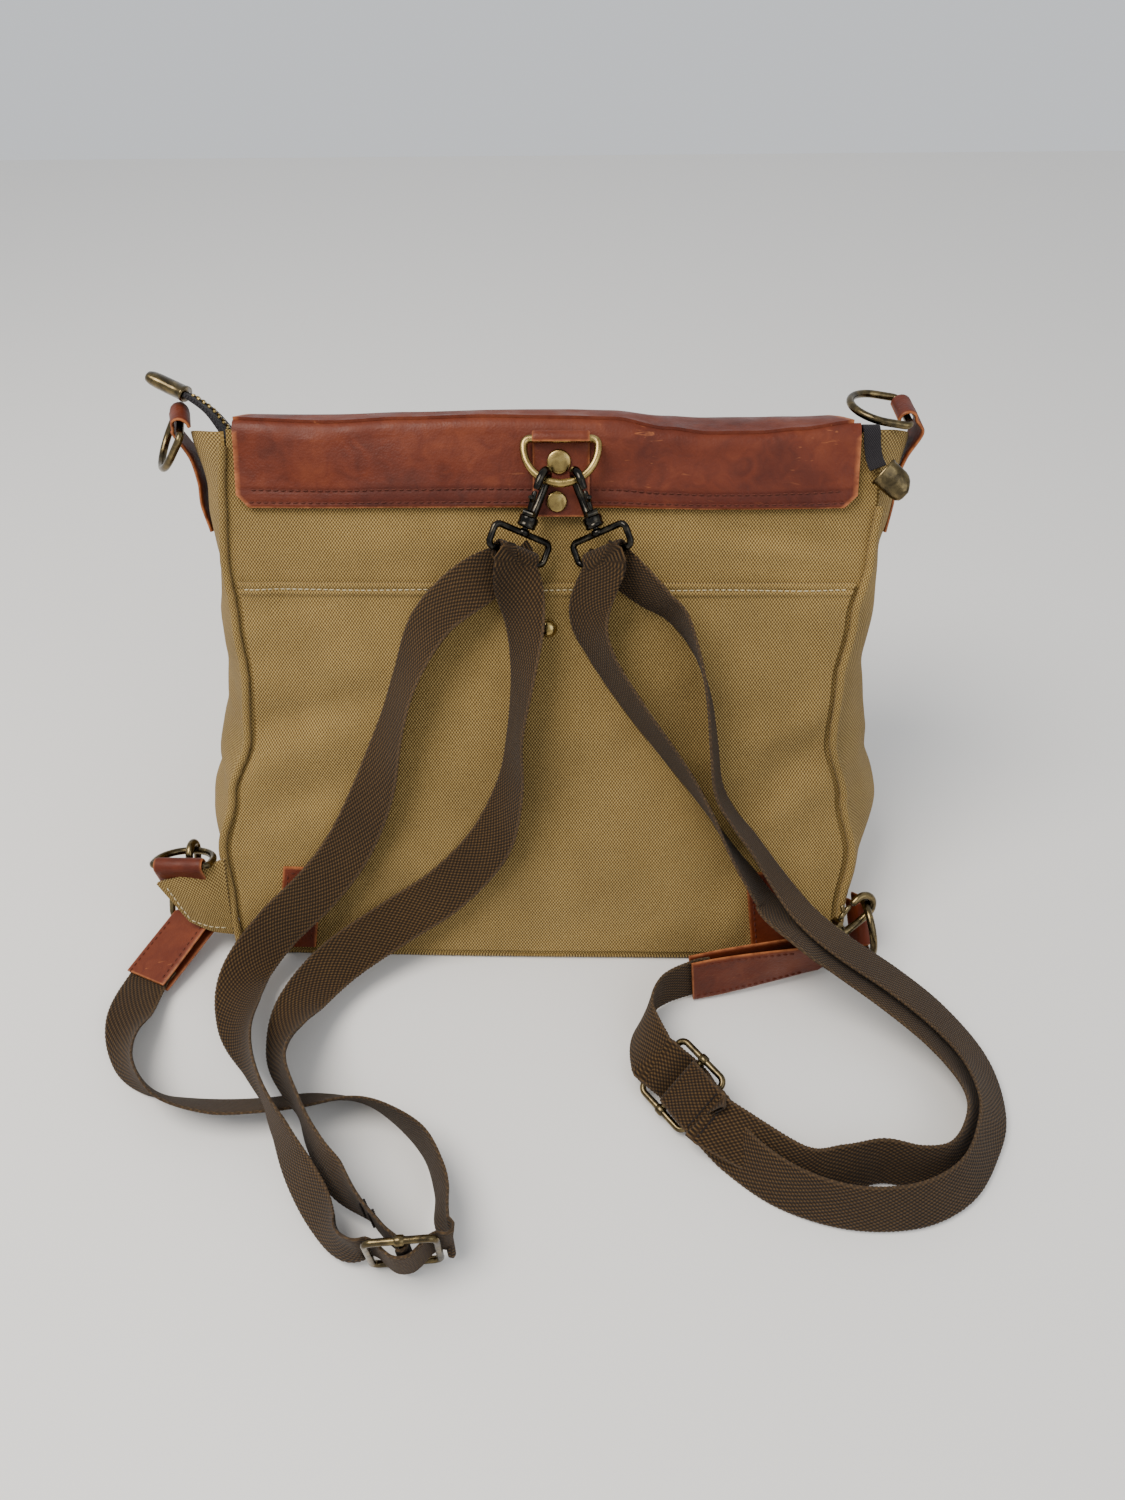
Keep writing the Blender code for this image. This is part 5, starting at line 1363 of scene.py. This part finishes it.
# ---------------------------------------------------------------- straps
SLIDER_LEFT = Vector((-52, -233, 18.5)) * MM
SLIDER_LEFT_ALONG = Vector((-0.99, -0.10, 0.0))
SLIDER_LEFT_WIDTH = Vector((0.25, -0.15, 0.95))
SLIDER_RIGHT = Vector((68, -150, 14)) * MM
SLIDER_RIGHT_ALONG = Vector((0.62, -0.76, -0.04))
SLIDER_RIGHT_WIDTH = Vector((0.62, 0.52, 0.58))
THREAD = ((-20, -3.5), (-14.5, -3.2), (-10.6, -1.4), (-7.6, 1.6), (-3.8, 4.6), (0, 5.4), (3.8, 4.6),
          (7.6, 1.6), (10.6, -1.4), (14.5, -3.2), (20, -3.4))
SEWN_TURN = ((1.4, -2.85), (-1.2, -2.5), (-2.7, -0.6), (-2.2, 1.6), (0, 2.75), (1.8, 2.2))
SEWN_LEFT = ((16, -18), (11, -12), (7.6, -8.0), (4.6, -5.2)) + SEWN_TURN
SEWN_RIGHT = ((25, -6.8), (20, -6.8), (14.5, -6.5), (9.6, -5.6), (4.8, -4.0)) + SEWN_TURN
LEFT_TAIL = (
    ((-188.5, -52, 14), (0.9, -0.35, 0.1)), ((-196, -70, 9), (0.9, -0.35, 0.1)),
    ((-206, -88, 7), (0.9, -0.35, 0.15)), ((-207, -110, 9.5), (0.97, 0.24, 0.10)),
    ((-202, -133, 12), (0.59, 0.28, 0.76)), ((-190, -150, 13.3), (0.06, 0, 1)),
    ((-174, -159, 11.7), (-0.05, -0.5, 0.86)), ((-151, -162, 9.6), (0, -0.7, 0.71)),
    ((-129, -161, 9.5), (0, -0.72, 0.69)), ((-107, -158, 9.6), (0, -0.7, 0.71)),
    ((-85, -159, 12), (-0.1, -0.45, 0.88)), ((-67, -167, 13.3), (-0.15, -0.12, 0.98)),
    ((-50, -181, 13.4), (0.03, 0.09, 1)), ((-41, -199, 14), (0.2, 0.1, 0.97)),
    ((-38, -214, 16), (0.3, 0.05, 0.95)))
LEFT_OUTER = (
    ((-82, -226, 15.5), (0.2, 0.1, 0.97)), ((-92, -213, 15), (0.4, 0.25, 0.88)),
    ((-103, -198, 18), (0.5, 0.09, 0.86)), ((-113, -183, 26), (0.35, -0.1, 0.93)),
    ((-123, -168, 32.5), (0.06, 0.01, 1)), ((-136, -145, 27.5), (0.2, 0.33, 0.92)),
    ((-149, -116, 19), (0.86, 0.32, 0.4)), ((-152, -90, 17), (0.96, -0.17, -0.2)),
    ((-139, -70, 27), (0.77, -0.46, -0.43)), ((-116, -57, 46), (0.74, -0.49, -0.46)),
    ((-99, -46, 66), (0.83, -0.44, -0.34)), ((-85, -34, 93.5), (0.82, -0.57, -0.11)),
    ((-75, -22, 123), (0.58, -0.8, 0.16)), ((-67, -11, 145.5), (0.55, -0.81, 0.21)),
    ((-56, 1, 167), (0.7, -0.71, -0.07)), ((-42, 9, 180), (0.75, -0.6, -0.28)))
LEFT_INNER = (
    ((-8, 2, 170), (0.8, -0.54, 0.26)), ((-9, -10, 148), (0.51, -0.77, 0.37)),
    ((-13, -24, 122), (0.35, -0.86, 0.38)), ((-16, -36, 96), (0.55, -0.81, 0.19)),
    ((-27, -46, 68), (0.72, -0.65, -0.24)), ((-50, -56, 44), (0.61, -0.62, -0.49)),
    ((-77, -65, 28), (0.56, -0.64, -0.53)), ((-104, -84, 20), (0.71, -0.61, -0.37)),
    ((-119, -107, 18), (0.94, -0.34, 0.02)), ((-122, -131, 22), (0.8, 0.2, 0.57)),
    ((-116, -157, 31.5), (0.17, 0.28, 0.95)), ((-105, -175, 32.5), (0.11, -0.08, 0.99)),
    ((-96, -190, 26.5), (0.37, -0.2, 0.91)), ((-85, -203, 21.5), (0.45, -0.07, 0.89)))
RIGHT_TAIL = (
    ((139, -74.5, 18), (0, 0.1, 1)), ((98, -86, 14), (0, 0.1, 1)), ((76, -88, 14), (0, 0.1, 1)),
    ((60, -97, 14), (0.1, 0.1, 1)), ((51, -115, 14), (0.4, 0.3, 0.85)))
RIGHT_OUTER = (
    ((90, -181, 11.6), (0.33, 0.42, 0.84)), ((108, -197, 12.2), (0.18, 0.35, 0.92)),
    ((130, -207, 13.5), (0.06, 0.30, 0.95)), ((152, -209, 13.5), (-0.01, 0.32, 0.95)),
    ((173, -205, 13.5), (-0.14, 0.35, 0.93)), ((191, -194, 13.5), (-0.30, 0.32, 0.90)),
    ((203, -177, 13.5), (-0.46, 0.25, 0.85)), ((210, -158, 13.5), (-0.66, 0.08, 0.75)),
    ((208, -133, 13.5), (-0.77, -0.24, 0.60)), ((194.5, -113, 18.4), (-0.67, -0.57, 0.48)),
    ((174, -99, 28.0), (-0.48, -0.79, 0.39)), ((149, -86, 38.6), (-0.34, -0.88, 0.33)),
    ((132, -74.5, 47.5), (-0.31, -0.90, 0.31)), ((119, -60.5, 57.6), (-0.27, -0.91, 0.32)),
    ((105.5, -49.5, 73.7), (-0.15, -0.93, 0.32)), ((96, -43, 83.8), (-0.11, -0.93, 0.35)),
    ((88, -36, 97.0), (-0.20, -0.90, 0.38)), ((85, -27, 116.2), (-0.21, -0.88, 0.42)),
    ((82, -16, 136.3), (-0.13, -0.90, 0.43)), ((76, -6, 156.0), (0.03, -0.87, 0.48)),
    ((66, 3, 172.6), (0.28, -0.70, 0.66)), ((54, 7, 182), (0.62, -0.58, 0.52)))
RIGHT_INNER = (
    ((23, 4, 175), (0.75, -0.5, 0.42)), ((29, -6, 157.1), (0.46, -0.64, 0.61)),
    ((46, -18, 133.5), (0.37, -0.68, 0.63)), ((67, -31, 108.4), (0.29, -0.74, 0.61)),
    ((81, -40, 89.6), (0.16, -0.84, 0.53)), ((91, -47, 74.4), (0.02, -0.90, 0.44)),
    ((102.5, -57, 60.2), (-0.15, -0.93, 0.33)), ((114, -66, 47.2), (-0.37, -0.83, 0.41)),
    ((126.5, -86, 47.6), (-0.37, -0.84, 0.39)), ((144, -92.5, 36.7), (-0.31, -0.89, 0.34)),
    ((169, -107, 26.3), (-0.49, -0.77, 0.40)), ((188.5, -121, 17.7), (-0.68, -0.54, 0.49)),
    ((201, -139, 13.5), (-0.76, -0.26, 0.60)), ((204, -159, 13.5), (-0.66, 0.07, 0.75)),
    ((197, -175, 13.5), (-0.38, 0.25, 0.89)), ((185, -187, 13.5), (-0.14, 0.29, 0.95)),
    ((170, -189, 13.5), (0.02, 0.25, 0.97)), ((154, -187, 14.0), (0.01, 0.33, 0.94)),
    ((137, -191, 14.5), (-0.04, 0.39, 0.92)), ((117, -192, 15.0), (-0.01, 0.41, 0.91)))


def slider_frame(centre, direction, width):
    x = Vector(direction).normalized()
    y = Vector(width) - x * Vector(width).dot(x)
    y.normalize()
    matrix = Matrix((x, y, -x.cross(y))).transposed().to_4x4()
    matrix.translation = centre
    return matrix


def over_eye(centre, bar, first, last):
    radius = (1.6 + 0.35 + 0.8 + 1.2) * MM
    side = (last - first) - bar * (last - first).dot(bar)
    side -= Z_AXIS * side.dot(Z_AXIS)
    side = (side - bar * side.dot(bar)).normalized()
    up = bar.cross(side)
    if up.z < 0:
        up = -up
    arc = [centre - side * radius * math.cos(math.pi * k / 6) + up * radius * math.sin(math.pi * k / 6)
           for k in range(7)]
    below = -up * 4 * MM
    return [arc[0] + below] + arc + [arc[-1] + below]


def build_strap(side, name, tail, outer, inner, slider, eye_frame):
    """One shoulder strap of webbing, from inside its leather end to the sewn end on the slider."""
    bar_centre, bar = eye_bar(eye_frame, TOP_EYE_TURN * side)
    across = slider.to_3x3() @ Vector((0, 1, 0))
    points = [Vector(p) * MM for p, _ in tail]
    widths = [Vector(w) for _, w in tail]
    sewn_in = (points[2] - points[0]).normalized() * 10 * MM
    points = [points[2] - sewn_in] + points[2:]
    widths = [widths[2]] + widths[2:]

    def add(path, directions):
        points.extend(path)
        widths.extend(directions)

    add([slider @ Vector((a * MM, 0, b * MM)) for a, b in THREAD], [across] * len(THREAD))
    add([Vector(p) * MM for p, _ in outer], [Vector(w) for _, w in outer])
    direction = bar if bar.x > 0 else -bar
    turn = over_eye(bar_centre, direction, Vector(outer[-1][0]) * MM, Vector(inner[0][0]) * MM)
    first_turn = len(points)
    add(turn, [direction] * len(turn))
    add([Vector(p) * MM for p, _ in inner], [Vector(w) for _, w in inner])
    sewn = SEWN_LEFT if side < 0 else SEWN_RIGHT
    add([slider @ Vector((a * MM, 0, b * MM)) for a, b in sewn], [across] * len(sewn))
    breadths = [25 * MM] * len(points)
    for k in range(first_turn, first_turn + len(turn)):
        breadths[k] = 22 * MM
    b = Builder()
    band(b, points, widths, 1.6 * MM, breadths, step=0.7 * MM, columns=12, ragged=0.22 * MM)
    b.piece(name, WEBBING, "bag", "webbing", [name])
    # the seam that holds the sewn end: two rows across the webbing
    thread = Builder()
    lead = Vector(inner[-1][0]) * MM
    ends = smooth_path([lead] + [slider @ Vector((a * MM, 0, b * MM)) for a, b in sewn[:4]], 30)
    seam_from = next(k for k in range(len(ends)) if (ends[k] - slider.translation).length < 25 * MM)
    seam_to = next(k for k in range(len(ends)) if (ends[k] - slider.translation).length < 19 * MM)
    for row in (seam_from, seam_to):
        spot, following = ends[row], ends[row + 1]
        normal = across.cross(following - spot).normalized()
        for sign in (1, -1):
            line = [spot + across * (w * MM) + normal * (sign * 0.85 * MM) for w in spread(-11, 11, 12)]
            stitches(thread, line, [normal * sign] * len(line), 2.6 * MM, 2.1 * MM, 0.45 * MM)
    thread.piece(name + "_seam", DARK_THREAD, "bag", "webbing")


# ---------------------------------------------------------------- zip and front pocket
def mouth_middle(x, drop, across):
    point = back_line(1.0) + ACROSS_MOUTH * across - UP_PANEL * drop
    return Vector((x, point.y, point.z))


def build_zip():
    middle = MOUTH_DEPTH / 2
    for name, inner, outer in (("zip_tape_back", middle - 3.0 * MM, middle - 17 * MM),
                               ("zip_tape_front", middle + 3.0 * MM, middle + 17 * MM)):
        path = [mouth_middle(x, ZIP_DROP, (inner + outer) / 2) for x in spread(-ZIP_HALF, ZIP_HALF, 9)]
        b = Builder()
        band(b, path, ACROSS_MOUTH, 0.9 * MM, abs(outer - inner), step=3 * MM, columns=8)
        b.piece(name, TAPE, "bag", "zip_tape", [name])
    teeth = Builder()
    x = -ZIP_HALF + 1.5 * MM
    while x < ZIP_HALF - 1.5 * MM:
        for side in (-1, 1):
            centre = mouth_middle(x + (0.75 * MM if side > 0 else 0), ZIP_DROP, middle + side * 0.6 * MM)
            tooth(teeth, frame_at(centre, X_AXIS, UP_PANEL), side)
        x += 1.5 * MM
    teeth.piece("zip_teeth", BRASS, "bag", "brass", ["zip_teeth"])
    seat = mouth_middle(ZIP_HALF - 16 * MM, ZIP_DROP - 3.3 * MM, middle)
    b = Builder()
    frame = frame_at(seat, X_AXIS, UP_PANEL)
    hull = [(-7.5, 2.6), (-6.6, 3.4), (-2, 3.9), (3, 4.5), (6.2, 4.4), (7.5, 3.2)]
    plate = [(x, w) for x, w in hull] + [(x, -w) for x, w in reversed(hull)]
    prism(b, frame, plate, -1.6, 1.5, 0.4)
    arch = [(5.0, 1.2), (4.0, 2.6), (1.5, 3.2), (-1.0, 3.2), (-3.6, 2.4), (-4.4, 1.2)]
    tube(b, smooth_path([frame @ Vector((a * MM, 0, c * MM)) for a, c in arch], 4), 0.75 * MM, sides=10)
    b.piece("zip_slider", BRASS, "zip_slider", "brass", ["zip_slider"])
    pull = frame_at(seat + UP_PANEL * 3.4 * MM - X_AXIS * 13 * MM, X_AXIS, UP_PANEL)
    b = Builder()
    shape = [(13.6, 1.2), (12.6, 2.2), (9, 2.5), (-9, 2.9), (-12.6, 2.7), (-14, 1.5)]
    prism(b, pull, shape + [(x, -w) for x, w in reversed(shape)], -0.7, 0.7, 0.25)
    b.piece("zip_pull", BRASS, "zip_pull", "brass", ["zip_pull"])

    left = [mouth_middle(-ZIP_HALF - 1.05 * MM, ZIP_DROP, middle), mouth_middle(-157 * MM, 1 * MM, middle),
            mouth_middle(-166 * MM, -10 * MM, middle), mouth_middle(-177 * MM, -18 * MM, middle)]
    b = Builder()
    band(b, left, ACROSS_MOUTH, 2.4 * MM, [28 * MM, 24 * MM, 17 * MM, 13 * MM], step=1.2 * MM, columns=12)
    b.piece("zip_tail_left", TAPE, "bag", "zip_tape", ["zip_tail_left"])
    teeth = Builder()
    path = smooth_path(left, 9)
    for k in range(2, len(path) - 2):
        ahead = (path[k + 1] - path[k - 1]).normalized()
        normal = ACROSS_MOUTH.cross(ahead).normalized()
        if normal.z < 0:
            normal = -normal
        spot = frame_at(path[k] + normal * 1.3 * MM, ahead, normal)
        tooth(teeth, spot @ Matrix.Translation((0, (0.7 if k % 2 else -0.7) * MM, 0)), 1 if k % 2 else -1)
    teeth.piece("zip_tail_left_teeth", BRASS, "bag", "brass")
    tip = mouth_middle(-198 * MM, -28 * MM, middle)
    direction = (tip - left[-1]).normalized()
    build_cap("zip_cap_left", left[-1] + direction * 0.5 * MM, direction, ACROSS_MOUTH, 21 * MM)
    right = [mouth_middle(154 * MM, 4.0 * MM, 12 * MM), mouth_middle(155 * MM, 0.0 * MM, 7 * MM),
             mouth_middle(155.5 * MM, -2.0 * MM, 2.0 * MM), plain_back(156 * MM, 273.6 * MM, 0.9 * MM),
             plain_back(156.5 * MM, 271 * MM, 1.5 * MM), plain_back(157 * MM, 265 * MM, 1.5 * MM),
             plain_back(158 * MM, 259 * MM, 2.5 * MM), plain_back(159.5 * MM, 254.5 * MM, 5.0 * MM)]
    diagonal = (UP_PANEL + X_AXIS * 2).normalized()
    b = Builder()
    band(b, right, [X_AXIS] * 6 + [(X_AXIS * 4 + UP_PANEL).normalized(), diagonal], 0.8 * MM, 8 * MM,
         step=0.8 * MM,
         columns=8)
    b.piece("zip_tail_right", TAPE, "bag", "zip_tape", ["zip_tail_right"])
    down = (X_AXIS * 0.72 - UP_PANEL * 0.62 + OUT_PANEL * 0.15).normalized()
    build_cap("zip_cap_right", right[-1] + down * 2.2 * MM + OUT_PANEL * 1.5 * MM, down, diagonal, 16 * MM)


def tooth(builder, frame, side):
    """One zip tooth: a small rounded block with its head towards the other side's teeth."""
    shape = [(-0.5, -1.9 * side), (-0.5, 0.9 * side), (0, 1.3 * side), (0.5, 0.9 * side), (0.5, -1.9 * side)]
    prism(builder, frame, [(x, -y) for x, y in shape], -1.1, 1.1, 0.2)


def prism(builder, frame, shape, low, high, bevel):
    """A flat shape given in millimetres, with softened rims, between two heights."""
    centre_x = sum(x for x, _ in shape) / len(shape)
    centre_y = sum(y for _, y in shape) / len(shape)
    loops = []
    for z, cut in ((low, bevel), (low + bevel, 0.0), (high - bevel, 0.0), (high, bevel)):
        loop = []
        for x, y in shape:
            away = Vector((x - centre_x, y - centre_y, 0))
            away = away * max(0.0, 1 - cut / max(away.length, 1e-6))
            loop.append(frame @ Vector(((centre_x + away.x) * MM, (centre_y + away.y) * MM, z * MM)))
        loops.append(loop)
    count = len(shape)
    verts = [p for loop in loops for p in loop]
    faces = []
    for i in range(3):
        for k in range(count):
            n = (k + 1) % count
            faces.append((i * count + k, i * count + n, (i + 1) * count + n, (i + 1) * count + k))
    faces.append(tuple(reversed(range(count))))
    faces.append(tuple(range(3 * count, 4 * count)))
    builder.add(verts, faces)


def build_cap(name, base, direction, across, length):
    """A brass end for the zip: a pressed tube, flattened and cut on a slant at its tip."""
    frame = frame_at(base, across, direction)
    sides, verts, faces, cloth = 28, [], [], []
    rings = [(0.0, 1.0, 0), (0.02, 1.06, 0), (0.07, 1.06, 0), (0.09, 1.0, 0), (0.4, 1.0, 0.3),
             (0.7, 0.98, 1.0),
             (0.86, 0.90, 1.3), (0.95, 0.74, 1.4), (0.985, 0.5, 1.4)]
    for z, grow, slant in rings:
        for k in range(sides):
            a = 2 * math.pi * k / sides
            x, y = 7.0 * grow * math.cos(a), 3.9 * grow * math.sin(a)
            shift = slant * 0.16 * (x / 7.0)
            verts.append(frame @ Vector((x * MM, y * MM, length * (z - max(0.0, shift)))))
            cloth.append((x * MM, z * length, 0))
    for i in range(len(rings) - 1):
        for k in range(sides):
            n = (k + 1) % sides
            faces.append((i * sides + k, i * sides + n, (i + 1) * sides + n, (i + 1) * sides + k))
    faces.append(tuple(reversed(range(sides))))
    faces.append(tuple((len(rings) - 1) * sides + k for k in range(sides)))
    b = Builder()
    b.add(verts, faces, cloth)
    b.piece(name, ANTIQUE, "bag", "brass", [name])


def build_front_pocket():
    """The bellows pocket on the front, under the flap."""
    shape = ((118, 1.2), (116, 8), (108, 14), (70, 16), (35, 16), (0, 16), (-35, 16), (-70, 16), (-108, 14),
             (-116, 8), (-118, 1.2))
    profile = smooth_path([(x, o, 0) for x, o in shape], 8)
    rows, cloth = [], []
    for t in spread(0.08, 0.6, 50):
        line = front_line(t)
        grow = 0.25 + 0.75 * min(1.0, (t - 0.08) / 0.04)
        row = []
        for p in profile:
            x = max(-118.0, min(118.0, p.x))
            rise = FRONT_BULGE * 0.4 * (1 - (x * MM / FRONT_HALF) ** 2)
            crease = 0.9 * noise.noise(Vector((x / 30, t * 9, 8))) * min(1.0, (p.y - 1.2) / 10)
            depth = 0.6 + (p.y - 0.6) * grow + crease
            row.append(Vector((x * MM, line.y + rise + depth * MM, line.z)))
        rows.append(row)
        cloth.append([(p.x * MM, t * PANEL_HEIGHT, 0) for p in profile])
    b = Builder()
    surface(b, rows, 1.1 * MM, lambda i, k: Vector((0, -1, 0)), cloth)
    b.piece("front_pocket", CANVAS, "bag", "canvas", ["front_pocket"])


# ---------------------------------------------------------------- everything
build_back_panel()
build_back_pocket()
build_bottom()
build_gusset(-1, "gusset_left")
build_gusset(1, "gusset_right")
build_front_panel()
build_front_pocket()
build_lining()
build_board()
build_welts()
build_strip()
build_flap()
build_closures()
build_patches()
build_centre()
build_side_rings()
build_corner_rings()
build_ear()
for hook_side, hook_name in ((-1, "left"), (1, "right")):
    build_hook("top_hook_" + hook_name, top_hook_frame(hook_side), TOP_EYE_TURN * hook_side,
               ("top_hook_" + hook_name, "top_gate_" + hook_name), GUNMETAL)
    low_frame, low_turn = bottom_hook_frame(hook_name)
    build_hook("bottom_hook_" + hook_name, low_frame, low_turn,
               ("bottom_hook_" + hook_name, "bottom_gate_" + hook_name), ANTIQUE)
    build_leather_end("strap_end_" + hook_name, LEFT_TAIL if hook_side < 0 else RIGHT_TAIL, low_frame,
                      low_turn)
LEFT_SLIDER = slider_frame(SLIDER_LEFT, SLIDER_LEFT_ALONG, SLIDER_LEFT_WIDTH)
RIGHT_SLIDER = slider_frame(SLIDER_RIGHT, SLIDER_RIGHT_ALONG, SLIDER_RIGHT_WIDTH)
build_slider("slider_left", LEFT_SLIDER)
build_slider("slider_right", RIGHT_SLIDER)
build_strap(-1, "webbing_left", LEFT_TAIL, LEFT_OUTER, LEFT_INNER, LEFT_SLIDER, top_hook_frame(-1))
build_strap(1, "webbing_right", RIGHT_TAIL, RIGHT_OUTER, RIGHT_INNER, RIGHT_SLIDER, top_hook_frame(1))
build_zip()
